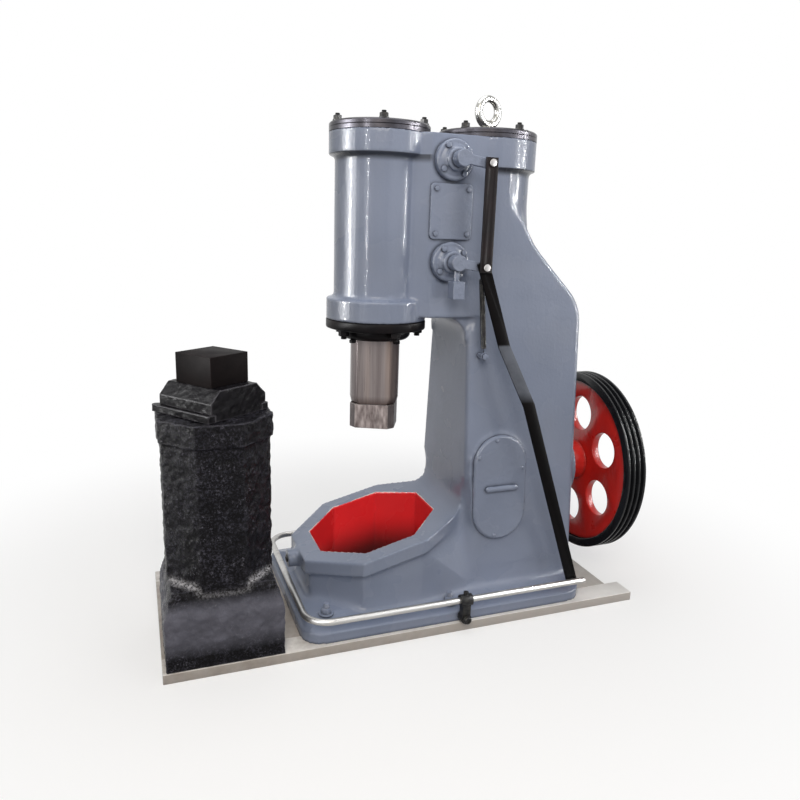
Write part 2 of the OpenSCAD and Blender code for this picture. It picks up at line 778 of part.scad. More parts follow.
module ram() color("rosybrown") on_bed() {
    intersection() {
        rotate_extrude() polygon([[0, ram_low - die_neck_h], [ram_r - die_neck_taper, ram_low - die_neck_h],
            [ram_r, ram_low], [ram_r, ram_high], [0, ram_high]]);
        rotate(ram_turn) translate([-ram_r - 1, -ram_flat, ram_low - die_neck_h - 1])
            cube([2 * ram_r + 2, 2 * ram_flat, ram_high - ram_low + die_neck_h + 2]);
    }
    translate([0, 0, ram_high - piston_h]) cylinder(r = ram_bore_r - seat_gap, h = piston_h);
}

module upper_die() color("rosybrown") on_bed() rotate(ram_turn) {
    chamfer = upper_die_d / 8;
    half = upper_die_w / 2;
    translate([0, 0, ram_low - die_neck_h - upper_die_h]) intersection() {
        linear_extrude(upper_die_h)
            polygon([for (c = [[1, 1], [-1, 1], [-1, -1], [1, -1]]) each
                [for (k = c[0] * c[1] > 0 ? [0, 1] : [1, 0])
                    [c[0] * (half - k * chamfer), c[1] * (upper_die_d / 2 - (1 - k) * chamfer)]]]);
        across(upper_die_d) polygon([[chamfer / 2 - half, 0], [half - chamfer / 2, 0], [half, chamfer / 2],
            [half, upper_die_h], [-half, upper_die_h], [-half, chamfer / 2]]);
    }
}

module at_shaft() { on_bed() translate([0, 0, shaft_z]) to_rear() children(); }

module flywheel_web() color("firebrick") at_shaft() translate([0, 0, wheel_x + web_back]) difference() {
    union() {
        cylinder(r = wheel_r - wheel_rim, h = web_t);
        translate([0, 0, -wheel_hub_l]) cylinder(r = wheel_hub_r, h = wheel_hub_l + web_t + web_back);
    }
    for (k = [0 : web_holes - 1]) rotate(web_turn + k * 360 / web_holes)
        translate([0, web_hole_circle, -1]) cylinder(r = web_hole_r, h = web_t + 2);
    translate([0, 0, -wheel_hub_l - 1]) cylinder(r = shaft_r, h = wheel_hub_l + web_t + web_back + 2);
}

module flywheel_rim() color("black") at_shaft() translate([0, 0, wheel_x]) rotate_extrude() difference() {
    translate([wheel_r - wheel_rim, 0]) square([wheel_rim, wheel_w]);
    for (k = [0 : groove_n - 1])
        translate([wheel_r, wheel_w / 2 + (k - (groove_n - 1) / 2) * groove_pitch])
            polygon([[1, -groove_depth / 2], [1, groove_depth / 2], [-groove_depth, groove_depth / 4],
                [-groove_depth, -groove_depth / 4]]);
}

module crankshaft() color("dimgray") at_shaft()
    translate([0, 0, column_rear + seat_gap]) cylinder(r = shaft_r, h = wheel_x + wheel_w - column_rear);

module treadle_arm(x0, x1, side) {
    translate([x0, side * treadle_half, 0]) to_rear() cylinder(d = treadle_d, h = x1 - x0);
}

module treadle_bar() color("lightgray") on_bed() translate([0, 0, treadle_z]) {
    bend = treadle_corner - treadle_front;
    far_rear = pivot_x + 2 * clamp_l;
    treadle_arm(bend, treadle_rear, -1);
    treadle_arm(bend, far_rear, 1);
    translate([-treadle_front, treadle_half - treadle_corner, 0]) to_near()
        cylinder(d = treadle_d, h = treadle_w - 2 * treadle_corner);
    for (s = [0, 1]) translate([bend, (2 * s - 1) * (treadle_half - treadle_corner), 0]) rotate(s ? 90 : 180)
        rotate_extrude(angle = 90) translate([treadle_corner, 0]) circle(d = treadle_d);
}

// Clamp on a treadle arm, with the eye that turns on the pivot bolt
module treadle_clamp(side) color("black") on_bed() translate([pivot_x, side * treadle_half, 0]) difference() {
    union() {
        translate([-clamp_l / 2, 0, treadle_z]) to_rear() cylinder(r = clamp_r, h = clamp_l);
        translate([0, clamp_t / 2, pivot_z]) to_near() cylinder(r = pivot_eye_r, h = clamp_t);
        translate([-pivot_eye_r * 0.8, -clamp_t / 2, pivot_z])
            cube([pivot_eye_r * 1.6, clamp_t, treadle_z - pivot_z]);
    }
    translate([-clamp_l / 2 - 1, 0, treadle_z]) to_rear() cylinder(d = treadle_d, h = clamp_l + 2);
    translate([0, clamp_t, pivot_z]) to_near() cylinder(r = pivot_r + fit_gap, h = 2 * clamp_t);
}

// Pin through the near treadle arm that carries the pedal link
module pedal_pin() color("black") on_bed() translate([pedal_pin_x, pin_gap - pedal_low_back, treadle_z]) to_near() {
    to_arm = treadle_half + pin_gap - pedal_low_back;
    difference() {
        cylinder(r = link_pin_r, h = to_arm);
        translate([-2 * link_pin_r, 0, to_arm]) to_rear()
            cylinder(d = treadle_d + 2 * fit_gap, h = 4 * link_pin_r);
    }
    translate([0, 0, -pin_head_t]) cylinder(r = 1.6 * link_pin_r, h = pin_head_t);
}

// Lever on a valve spindle, drawn with its spindle axis on the origin
module valve_lever(z) color("slategray") on_bed() translate([valve_x, 0, z]) difference() {
    union() {
        translate([0, -wall_top_half - seat_gap, 0]) to_near()
            cylinder(r = spindle_r, h = hub_back - wall_top_half);
        translate([0, -hub_back, 0]) to_near() cylinder(r = lever_hub_r, h = lever_hub_l);
        translate([0, -arm_back, 0]) to_near() linear_extrude(lever_t) {
            rotate(-atan(lever_drop / lever_reach)) translate([0, -lever_w / 2])
                square([norm([lever_reach, lever_drop]), lever_w]);
            translate([lever_reach, -lever_drop]) circle(d = lever_w);
        }
    }
    translate([lever_reach, 1 - arm_back, -lever_drop]) to_near() cylinder(r = link_pin_r, h = lever_t + 2);
}

module lower_valve_lever() { valve_lever(lower_valve_z); }

module upper_valve_lever() { valve_lever(upper_valve_z); }

module square_knob() color("slategray") on_bed()
    translate([valve_x, -hub_back - lever_hub_l / 2, lower_valve_z - lever_hub_r - knob_stem_l]) {
        difference() {
            cylinder(r = knob_stem_r, h = knob_stem_l + lever_hub_r / 2);
            translate([0, lever_hub_l, knob_stem_l + lever_hub_r]) to_near()
                cylinder(r = lever_hub_r, h = 2 * lever_hub_l);
        }
        translate([-knob_w / 2, -knob_d / 2, -knob_h]) cube([knob_w, knob_d, knob_h]);
    }

module link_pin(z) color("silver") on_bed() translate([pin_x, -arm_back, z]) to_near() {
    cylinder(r = link_pin_r, h = link_face + pin_gap - arm_back);
    translate([0, 0, link_face + pin_gap - arm_back]) cylinder(r = 1.4 * link_pin_r, h = pin_head_t);
}

module lower_link_pin() { link_pin(lower_pin_z); }

module upper_link_pin() { link_pin(upper_pin_z); }

// Flat bar cut off square, with a hole near each end, drawn down from its upper hole
module bar_outline(l, upper_hole, lower_hole) {
    difference() {
        translate([-bar_w / 2, -l - bar_end]) square([bar_w, l + 2 * bar_end]);
        circle(r = upper_hole);
        translate([0, -l]) circle(r = lower_hole);
    }
}

module valve_link() color("black") on_bed() translate([pin_x, -link_back, upper_pin_z]) to_near()
    linear_extrude(bar_t)
        bar_outline(upper_pin_z - lower_pin_z, link_pin_r + fit_gap, link_pin_r + fit_gap);

// Pedal link: the flat bar outline, cut from a strip that is joggled outwards between its two bends
module pedal_link() color("black") on_bed() translate([pin_x, 0, lower_pin_z]) rotate([0, -pedal_lean, 0])
    intersection() {
        rotate([90, 0, 0]) linear_extrude(pedal_low_face + bar_t)
            bar_outline(pedal_length, link_pin_r + fit_gap, link_pin_r + pedal_play);
        translate([-bar_w, 0, 0]) to_rear() rotate(90) linear_extrude(2 * bar_w)
            joggle_outline((lower_pin_z - joggle_high) / cos(pedal_lean),
                (lower_pin_z - joggle_low) / cos(pedal_lean));
    }

// Edge view of the pedal link, as points (distance from the middle plane, height along the link)
module joggle_outline(bend_1, bend_2) {
    low = -pedal_length - bar_w;
    polygon([[-pedal_back, bar_w], [-pedal_back, -bend_1], [-pedal_low_back, -bend_2], [-pedal_low_back, low],
        [-pedal_low_face, low], [-pedal_low_face, -bend_2 - bar_t / 4],
        [-pedal_face, -bend_1 - bar_t / 4], [-pedal_face, bar_w]]);
}

// Return spring from the anchor stud up to the lower link pin, as its outer shape with two hooks
module return_spring() color("black") on_bed() {
    stud_out = anchor_l - 2 * spring_r / 3;
    stud = [anchor_x, -wall_half(anchor_z) - stud_out * cos(wall_lean), anchor_z + stud_out * sin(wall_lean)];
    top = [pin_x, -arm_back - lever_t / 2, lower_pin_z - lever_w / 2];
    run = top - stud;
    length = norm(run);
    hook = 2 * spring_r;
    hook_low = anchor_r + 2 * seat_gap;
    hook_top = length - 4 * seat_gap;
    translate(stud) rotate([0, acos(run[2] / length), atan2(run[1], run[0])]) {
        translate([0, 0, hook]) cylinder(r = spring_r, h = length - 2 * hook);
        translate([0, 0, hook_low]) cylinder(r = spring_r / 3, h = hook_top - hook_low);
    }
}

bed_deck();
bed_rail(-1);  // bed_rail_near
bed_rail(1);  // bed_rail_far
frame_casting();
ram_cylinder_cover();
pump_cylinder_cover();
lifting_eye();
gland_plate();
gland_nose();
upper_valve_cover();
lower_valve_cover();
chest_cover();
crankcase_cover();
crankcase_handle();
bearing_housing();
treadle_pivot(-1);  // treadle_pivot_near
treadle_pivot(1);  // treadle_pivot_far
spring_anchor();
anvil_block();
sow_block();
sow_key(-1);  // sow_key_left
sow_key(1);  // sow_key_right
lower_die();
ram();
upper_die();
flywheel_web();
flywheel_rim();
crankshaft();
treadle_bar();
treadle_clamp(-1);  // treadle_clamp_near
treadle_clamp(1);  // treadle_clamp_far
pedal_pin();
lower_valve_lever();
square_knob();
lower_link_pin();
upper_valve_lever();
upper_link_pin();
valve_link();
pedal_link();
return_spring();
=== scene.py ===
"""Looks of a pneumatic forging hammer: cast frame, valve gear, treadle, flywheel and separate anvil.

Sizes are in millimetres unless a name says otherwise; they become metres where a mesh is made.
"""
import logging
import math
from dataclasses import dataclass
from enum import Enum
from typing import Any, Sequence

import bmesh
import bpy
import numpy as np
from mathutils import Matrix, Vector


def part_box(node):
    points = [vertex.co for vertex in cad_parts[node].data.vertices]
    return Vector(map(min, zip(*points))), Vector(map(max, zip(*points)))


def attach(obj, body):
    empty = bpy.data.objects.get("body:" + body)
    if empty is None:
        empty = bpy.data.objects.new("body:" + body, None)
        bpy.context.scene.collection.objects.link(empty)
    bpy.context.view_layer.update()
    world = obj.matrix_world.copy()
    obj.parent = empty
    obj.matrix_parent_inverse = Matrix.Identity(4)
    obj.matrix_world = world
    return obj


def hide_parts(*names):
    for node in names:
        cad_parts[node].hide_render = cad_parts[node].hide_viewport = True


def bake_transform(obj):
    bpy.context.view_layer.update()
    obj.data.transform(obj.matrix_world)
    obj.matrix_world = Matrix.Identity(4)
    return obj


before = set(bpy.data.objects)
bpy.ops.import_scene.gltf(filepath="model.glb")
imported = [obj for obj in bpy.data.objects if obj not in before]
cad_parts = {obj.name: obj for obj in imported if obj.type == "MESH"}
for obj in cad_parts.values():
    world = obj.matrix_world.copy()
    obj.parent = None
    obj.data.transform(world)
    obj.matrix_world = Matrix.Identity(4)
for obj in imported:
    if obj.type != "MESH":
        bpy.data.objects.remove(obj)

LOG = logging.getLogger("hammer")
MM = 0.001
WELD_M = 1e-6
FLAT_DEG = 0.4
EASE_DEG = 30.0
SCREW_STEP_DEG = 17.0
FRESH_NORMALS = 6
SMOOTH = {"interpolation_type": "SMOOTHSTEP"}
COLOUR = {"data_type": "RGBA"}
WHITE = "#FFFFFF"
Tree = bpy.types.NodeTree
Node = bpy.types.Node
Socket = bpy.types.NodeSocket
Radius = float | np.ndarray
Point = Sequence[float]
Layer = tuple[float, float, int]
PAINT_LUMPS = ((1.0, 15.0, 5), (0.6, 6.0, 6), (0.3, 3.2, 7))


class Body(str, Enum):
    """The bodies of the machine that a piece can ride on."""

    FRAME = "frame"
    RAM = "ram"
    FLYWHEEL = "flywheel"
    TREADLE = "treadle"
    LOWER_LEVER = "lower_lever"
    UPPER_LEVER = "upper_lever"
    VALVE_LINK = "valve_link"
    PEDAL_LINK = "pedal_link"


class Slot(str, Enum):
    """The material slots that each finish names."""

    BED = "bed"
    GREY = "grey_paint"
    DARK_STEEL = "dark_steel"
    BRIGHT_STEEL = "bright_steel"
    BLACK = "black_paint"
    BAR = "bar_black"
    CASTING = "black_casting"
    DIE = "die_black"
    RAM = "ram_steel"
    RED = "red_paint"


class Head(Enum):
    """Kinds of fastener."""

    NUT_ON_STUD = "nut on stud"
    HEX_BOLT = "hex bolt"
    SOCKET_SCREW = "socket screw"
    DOME_SCREW = "dome screw"


# Colour and shader helpers


def linear(hex_colour: str) -> tuple[float, float, float, float]:
    """Turns an sRGB hex colour into a linear colour.

    Args:
        hex_colour: colour such as "#808A96".

    Returns:
        Red, green, blue and alpha for a node socket.
    """
    parts = [int(hex_colour[i:i + 2], 16) / 255 for i in (1, 3, 5)]
    made = [c / 12.92 if c <= 0.04045 else ((c + 0.055) / 1.055) ** 2.4 for c in parts]
    return (made[0], made[1], made[2], 1.0)


def per_metre(size_mm: float) -> float:
    """Texture scale that gives a pattern the stated size in millimetres."""
    return 1.0 / (size_mm * MM)


def fresh_tree(owner: bpy.types.Material | bpy.types.World) -> Tree:
    """Empty node tree of a material or a world.

    Args:
        owner: the material or world.

    Returns:
        Its tree, without nodes.
    """
    owner.use_nodes = True
    owner.node_tree.nodes.clear()
    return owner.node_tree


def add(tree: Tree, kind: str, inputs: dict[Any, Any] | Sequence[Any] = (), **settings: Any) -> Node:
    """Adds one node, with its settings and the values or links of its inputs.

    A value is a number, a hex colour, an output socket, or a node that stands for its first output in use.

    Args:
        tree: node tree to add to.
        kind: Blender's name of the node, without its prefix.
        inputs: values for the sockets in order, or for sockets by name or number.
        settings: properties of the node.

    Returns:
        The new node.
    """
    node = tree.nodes.new("ShaderNode" + kind)
    for name, value in settings.items():
        setattr(node, name, value)
    for name, value in inputs.items() if isinstance(inputs, dict) else enumerate(inputs):
        if isinstance(value, Node):
            value = next(s for s in value.outputs if s.enabled)
        if isinstance(value, Socket):
            tree.links.new(value, node.inputs[name])
        else:
            node.inputs[name].default_value = linear(value) if isinstance(value, str) else value
    return node


def corners(tree: Tree, reach_mm: float, share: float, edges: bool = False) -> Node:
    """Marks hollow corners for painted shade, or outer edges for partly worn, partly painted highlight.

    Args:
        tree: node tree to add to.
        reach_mm: how far from the corner the mark goes.
        share: strength of the mark in the corner.
        edges: whether outer edges are marked instead of hollow corners.

    Returns:
        A node that falls from the share in the corner to 0 on open faces.
    """
    near = add(tree, "AmbientOcclusion", {"Distance": reach_mm * MM}, samples=6, inside=edges)
    return add(tree, "MapRange", (near.outputs["AO"], 0.5, 0.93, share, 0.0))


def stretch(tree: Tree, value: Socket, start_mm: float, full_mm: float, fade_mm: float,
            end_mm: float) -> Node:
    """Marks a stretch along one coordinate: the product of a ramp up and a ramp down.

    Args:
        tree: node tree to add to.
        value: the coordinate.
        start_mm: where the mark starts.
        full_mm: where it is full.
        fade_mm: where it begins to fade.
        end_mm: where it ends.

    Returns:
        A node that is 1 within the stretch and 0 outside it.
    """
    rising = add(tree, "MapRange", (value, start_mm * MM, full_mm * MM))
    falling = add(tree, "MapRange", (value, end_mm * MM, fade_mm * MM))
    return add(tree, "Math", (rising, falling), operation="MULTIPLY")


@dataclass(frozen=True)
class Finish:
    """A surface finish: common values of the shader, and a pattern that each kind of finish draws."""

    name: str
    slot: Slot
    metallic: float = 0.0
    roughness: float = 0.4
    specular: float = 0.5
    coat: float = 0.0
    coat_roughness: float = 0.1

    def material(self) -> bpy.types.Material:
        """Makes the material, or gives the one that was made before.

        Returns:
            The Blender material of this finish.
        """
        made = bpy.data.materials.get(self.name)
        if made:
            return made
        made = bpy.data.materials.new(self.name)
        tree = fresh_tree(made)
        place = add(tree, "TexCoord").outputs["Object"]
        shader = add(tree, "BsdfPrincipled", {
            "Metallic": self.metallic, "Roughness": self.roughness, "Specular IOR Level": self.specular,
            "Coat Weight": self.coat, "Coat Roughness": self.coat_roughness, **self.pattern(tree, place)})
        add(tree, "OutputMaterial", {"Surface": shader})
        return made

    def pattern(self, tree: Tree, place: Socket) -> dict[str, Node]:
        """Draws the pattern on object coordinates, and gives what feeds each socket of the shader."""
        raise NotImplementedError


@dataclass(frozen=True)
class GlossEnamel(Finish):
    """Gloss enamel sprayed thickly on a rough iron casting.

    To the eye: a soft blue grey with faint clouds, a skin that ripples over the casting and sharp white
    lights. Real orange peel is 1 to 2 mm across, and is drawn coarser here so that it shows.
    """

    light: str = "#858FA5"
    dark: str = "#7A8499"
    dust_and_sheen: str = "#86827C"
    dust_and_sheen_share: float = 0.1
    cloud_mm: float = 260.0
    soil_share: float = 0.6
    ripple_mm: float = 30.0
    ripple_deep_mm: float = 1.6
    run_squeeze: float = 0.22
    peel_mm: float = 9.0
    peel_deep_mm: float = 0.7
    well_half_mm: float = 0.0
    well_top_mm: float = 420.0
    well_light: str = "#F8343A"
    well_dark: str = "#EA2C31"
    # Painted shade in the well: its colour, its strength, and the depths where it starts and where it is
    # full.
    well_shade: str = "#22080A"
    well_shade_share: float = 0.92
    well_shade_start_mm: float = 45.0
    well_shade_full_mm: float = 185.0
    rim_mm: float = 227.0
    rim_rise: float = 0.259
    bare_edge: str = "#CFCBC8"
    bare_mm: float = 3.2
    chip_mm: float = 60.0
    # Painted shadow under the flanges: its colour, how far down it reaches, how its ends fade, and its lines.
    flange_shadow: str = "#24262C"
    flange_shadow_deep_mm: float = 26.0
    flange_shadow_full_mm: float = 7.0
    flange_shadow_end_mm: float = 12.0
    flange_shadow_lines: tuple[tuple[float, float, float], ...] = ()
    # Painted shade in hollow corners and under parts: its colour, reach and strength.
    grime_and_shade: str = "#3D424E"
    corner_shade_mm: float = 11.0
    corner_shade_share: float = 0.75

    def pattern(self, tree: Tree, place: Socket) -> dict[str, Node]:
        """Clouds between two tones, ripple and orange peel as bump, and red in the well if there is one.

        Args:
            tree: node tree of the material.
            place: object coordinates.

        Returns:
            What feeds each socket of the shader.
        """
        cloud = add(tree, "TexNoise", {"Vector": place, "Scale": per_metre(self.cloud_mm), "Detail": 2.0})
        spread = add(tree, "MapRange", (cloud, 0.25, 0.75), **SMOOTH)
        tone = add(tree, "Mix", {0: spread, 6: self.dark, 7: self.light}, **COLOUR)
        soil = add(tree, "TexNoise", {"Vector": place, "Scale": per_metre(self.soil_share * self.cloud_mm),
                                      "Detail": 3.0})
        soiled = add(tree, "MapRange", (soil, 0.35, 0.85, 0.0, self.dust_and_sheen_share), **SMOOTH)
        tone = add(tree, "Mix", {0: soiled, 6: tone, 7: self.dust_and_sheen}, **COLOUR)
        if self.well_half_mm:
            tone = self.with_red_well(tree, place, cloud, tone)
        # Painted shadow lines under the flanges.
        for line in self.flange_shadow_lines:
            tone = self.with_flange_shadow(tree, place, soil, tone, *line)
        # Painted shade: darker in hollow corners and under parts, found by ambient occlusion.
        grime_and_shade = corners(tree, self.corner_shade_mm, self.corner_shade_share)
        tone = add(tree, "Mix", {0: grime_and_shade, 6: tone, 7: self.grime_and_shade}, **COLOUR)
        sheen = add(tree, "MapRange", (soil, 0.2, 0.8, self.roughness - 0.05, self.roughness + 0.07),
                    **SMOOTH)
        runs = add(tree, "Mapping", {"Vector": place, "Scale": (1.0, 1.0, self.run_squeeze)})
        ripple = add(tree, "TexNoise", {"Vector": runs, "Scale": per_metre(self.ripple_mm), "Detail": 3.0})
        peel = add(tree, "TexNoise", {"Vector": place, "Scale": per_metre(self.peel_mm), "Detail": 1.0})
        wave = add(tree, "Bump", {"Height": ripple, "Distance": self.ripple_deep_mm * MM, "Strength": 0.5})
        skin = add(tree, "Bump", {"Height": peel, "Distance": self.peel_deep_mm * MM, "Strength": 0.5,
                                  "Normal": wave})
        return {"Base Color": tone, "Roughness": sheen, "Normal": skin, "Coat Normal": skin}

    def with_flange_shadow(self, tree: Tree, place: Socket, cloud: Node, tone: Node, start_mm: float, end_mm: float,
                  top_mm: float) -> Node:
        """Paints a shadow line under a flange, where shade falls, and lets it fade out downwards.

        Args:
            tree: node tree of the material.
            place: object coordinates.
            cloud: noise that varies the line.
            tone: colour without the line.
            start_mm: where the line starts along X.
            end_mm: where it ends along X.
            top_mm: height of the flange's underside.

        Returns:
            The colour with the line.
        """
        axes = add(tree, "SeparateXYZ", (place,)).outputs
        fade, full = top_mm - self.flange_shadow_deep_mm, top_mm - self.flange_shadow_full_mm
        below = add(tree, "MapRange", (axes[2], fade * MM, full * MM), **SMOOTH)
        under = add(tree, "MapRange", (axes[2], (top_mm + 1) * MM, (top_mm - 1) * MM))
        along = stretch(tree, axes[0], start_mm, start_mm + self.flange_shadow_end_mm, end_mm - self.flange_shadow_end_mm,
                        end_mm)
        share = add(tree, "MapRange", (cloud, 0.3, 0.7, 0.75, 1.0))
        for part in (below, under, along):
            share = add(tree, "Math", (share, part), operation="MULTIPLY")
        return add(tree, "Mix", {0: share, 6: tone, 7: self.flange_shadow}, **COLOUR)

    def with_red_well(self, tree: Tree, place: Socket, cloud: Node, tone: Node) -> Node:
        """Paints the octagonal well red, with painted shade towards its foot, and a broken bare line along
        its rim.

        A point is in the well where the largest of |x|, |y| and (|x| + |y|) / root 2 is below its half width.

        Args:
            tree: node tree of the material.
            place: object coordinates.
            cloud: noise that varies the red.
            tone: colour outside the well.

        Returns:
            The colour with the well painted.
        """
        axes = add(tree, "SeparateXYZ", (place,)).outputs
        half = self.well_half_mm * MM
        x, y = (add(tree, "Math", (axes[i],), operation="ABSOLUTE") for i in (0, 1))
        total = add(tree, "Math", (x, y), operation="ADD")
        diagonal = add(tree, "Math", (total, math.sqrt(0.5)), operation="MULTIPLY")
        reach = add(tree, "Math", (x, y), operation="MAXIMUM")
        reach = add(tree, "Math", (reach, diagonal), operation="MAXIMUM")
        low = add(tree, "Math", (axes[2], self.well_top_mm * MM), operation="LESS_THAN")
        chips = add(tree, "TexNoise", {"Vector": place, "Scale": per_metre(self.chip_mm), "Detail": 3.0})
        width = add(tree, "MapRange", (chips, 0.42, 0.6, half, half + self.bare_mm * MM))
        red = add(tree, "Mix", {0: cloud, 6: self.well_dark, 7: self.well_light}, **COLOUR)
        # Painted shade: the red darkens with depth below the sloping rim.
        rim = add(tree, "Math", (axes[0], self.rim_rise, self.rim_mm * MM), operation="MULTIPLY_ADD")
        depth = add(tree, "Math", (rim, axes[2]), operation="SUBTRACT")
        deep_shade = add(tree, "MapRange", (depth, self.well_shade_start_mm * MM, self.well_shade_full_mm * MM, 0.0,
                                       self.well_shade_share), **SMOOTH)
        red = add(tree, "Mix", {0: deep_shade, 6: red, 7: self.well_shade}, **COLOUR)
        for limit, colour in ((width, self.bare_edge), (half, red)):
            inside = add(tree, "Math", (reach, limit), operation="LESS_THAN")
            share = add(tree, "Math", (inside, low), operation="MULTIPLY")
            tone = add(tree, "Mix", {0: share, 6: tone, 7: colour}, **COLOUR)
        return tone


@dataclass(frozen=True)
class DarkMetal(Finish):
    """Steel with a thin dark skin: blackened bar, painted cover or turned flange.

    To the eye: near black with warm and cool clouds, a satin sheen, lighter worn patches, a painted sheen
    band where one is set, and lighter edges, partly wear and partly painted highlight. Real grit is under
    half a millimetre, and is drawn coarser here so that it shows.
    """

    deep: str = "#141416"
    worn: str = "#3A3838"
    cloud_mm: float = 60.0
    grit_mm: float = 3.0
    wear: float = 0.35
    dent_mm: float = 0.15
    # Painted sheen band: lighter between two heights, standing in for light on a bent face.
    sheen_band: str = "#5C5F66"
    sheen_band_low_mm: float = 0.0
    sheen_band_high_mm: float = 0.0
    sheen_band_fade_mm: tuple[float, float] = (30.0, 6.0)
    # Lighter outer edges: partly wear, partly painted highlight.
    edge: str = "#6A6970"
    edge_mm: float = 0.0
    edge_share: float = 0.9

    def pattern(self, tree: Tree, place: Socket) -> dict[str, Node]:
        """Two clouded darks, a painted sheen band, roughness that follows the wear, and grit as bump.

        Args:
            tree: node tree of the material.
            place: object coordinates.

        Returns:
            What feeds each socket of the shader.
        """
        cloud = add(tree, "TexNoise", {"Vector": place, "Scale": per_metre(self.cloud_mm), "Detail": 6.0,
                                       "Roughness": 0.62})
        share = add(tree, "MapRange", (cloud, 0.42, 0.74, 0.0, self.wear))
        tone = add(tree, "Mix", {0: share, 6: self.deep, 7: self.worn}, **COLOUR)
        # Painted sheen band between two heights.
        if self.sheen_band_high_mm:
            height = add(tree, "SeparateXYZ", (place,)).outputs[2]
            low, high = self.sheen_band_low_mm, self.sheen_band_high_mm
            fade_in, fade_out = self.sheen_band_fade_mm
            sheen_band = stretch(tree, height, low, low + fade_in, high - fade_out, high)
            part = add(tree, "MapRange", (cloud, 0.25, 0.6, 0.55, 1.0))
            share = add(tree, "Math", (sheen_band, part), operation="MULTIPLY")
            tone = add(tree, "Mix", {0: share, 6: tone, 7: self.sheen_band}, **COLOUR)
        # Lighter outer edges, partly wear and partly painted highlight.
        if self.edge_mm:
            bare = corners(tree, self.edge_mm, self.edge_share, edges=True)
            tone = add(tree, "Mix", {0: bare, 6: tone, 7: self.edge}, **COLOUR)
        sheen = add(tree, "MapRange", (cloud, 0.3, 0.7, self.roughness + 0.08, self.roughness - 0.08))
        grit = add(tree, "TexNoise", {"Vector": place, "Scale": per_metre(self.grit_mm), "Detail": 2.0})
        dents = add(tree, "Bump", {"Height": grit, "Distance": self.dent_mm * MM, "Strength": 0.6})
        return {"Base Color": tone, "Roughness": sheen, "Normal": dents}


@dataclass(frozen=True)
class DrawnSteel(Finish):
    """Bare steel that was drawn, ground or turned along one axis.

    To the eye: bright metal with fine lines along its length, broad light and dark streaks and a little brown
    oil. Real lines are some hundredths of a millimetre apart, and are drawn coarser here so that they show.
    """

    light: str = "#B4B5B1"
    dark: str = "#8F8F8B"
    stain: str = "#8A6B52"
    along: tuple[float, float, float] = (0.0, 0.0, 1.0)
    streak_mm: float = 14.0
    stretched: float = 30.0
    stained: float = 0.15
    scale: str = "#4A3D3A"
    scale_low_mm: float = 0.0
    scale_high_mm: float = 0.0
    scale_share: float = 0.85
    line_deep_mm: float = 0.08
    # Lighter outer edges: partly wear, partly painted highlight.
    edge: str = "#D9D3CF"
    edge_mm: float = 0.0
    edge_share: float = 0.9
    blackened: float = 0.0

    def pattern(self, tree: Tree, place: Socket) -> dict[str, Node]:
        """Noise squeezed across the drawing direction gives the streaks, and finer noise the lines.

        Args:
            tree: node tree of the material.
            place: object coordinates.

        Returns:
            What feeds each socket of the shader.
        """
        squeeze = tuple(1.0 / self.stretched if a else 1.0 for a in self.along)
        drawn = add(tree, "Mapping", {"Vector": place, "Scale": squeeze})
        kinds = ((self.streak_mm, 4.0), (self.streak_mm / 6, 3.0), (3 * self.streak_mm, 3.0))
        streak, line, patch = (
            add(tree, "TexNoise", {"Vector": drawn, "Scale": per_metre(size_mm), "Detail": detail})
            for size_mm, detail in kinds)
        share = add(tree, "MapRange", (streak, 0.32, 0.68))
        tone = add(tree, "Mix", {0: share, 6: self.dark, 7: self.light}, **COLOUR)
        layers = [(add(tree, "MapRange", (patch, 0.52, 0.66, 0.0, self.stained)), self.stain)]
        if self.scale_high_mm:
            height = add(tree, "SeparateXYZ", (place,)).outputs[2]
            band = add(tree, "MapRange", (height, self.scale_high_mm * MM, self.scale_low_mm * MM, 0.0,
                                          self.scale_share))
            layers.append((band, self.scale))
        if self.blackened:
            sides = add(tree, "Attribute", attribute_name="scaled").outputs["Fac"]
            layers.append((add(tree, "Math", (sides, self.blackened), operation="MULTIPLY"), self.scale))
        # Lighter outer edges, partly wear and partly painted highlight.
        if self.edge_mm:
            layers.append((corners(tree, self.edge_mm, self.edge_share, edges=True), self.edge))
        for share, colour in layers:
            tone = add(tree, "Mix", {0: share, 6: tone, 7: colour}, **COLOUR)
        sheen = add(tree, "MapRange", (line, 0.3, 0.7, self.roughness - 0.07, self.roughness + 0.09))
        lines = add(tree, "Bump", {"Height": line, "Distance": self.line_deep_mm * MM, "Strength": 0.5})
        return {"Base Color": tone, "Roughness": sheen, "Normal": lines}


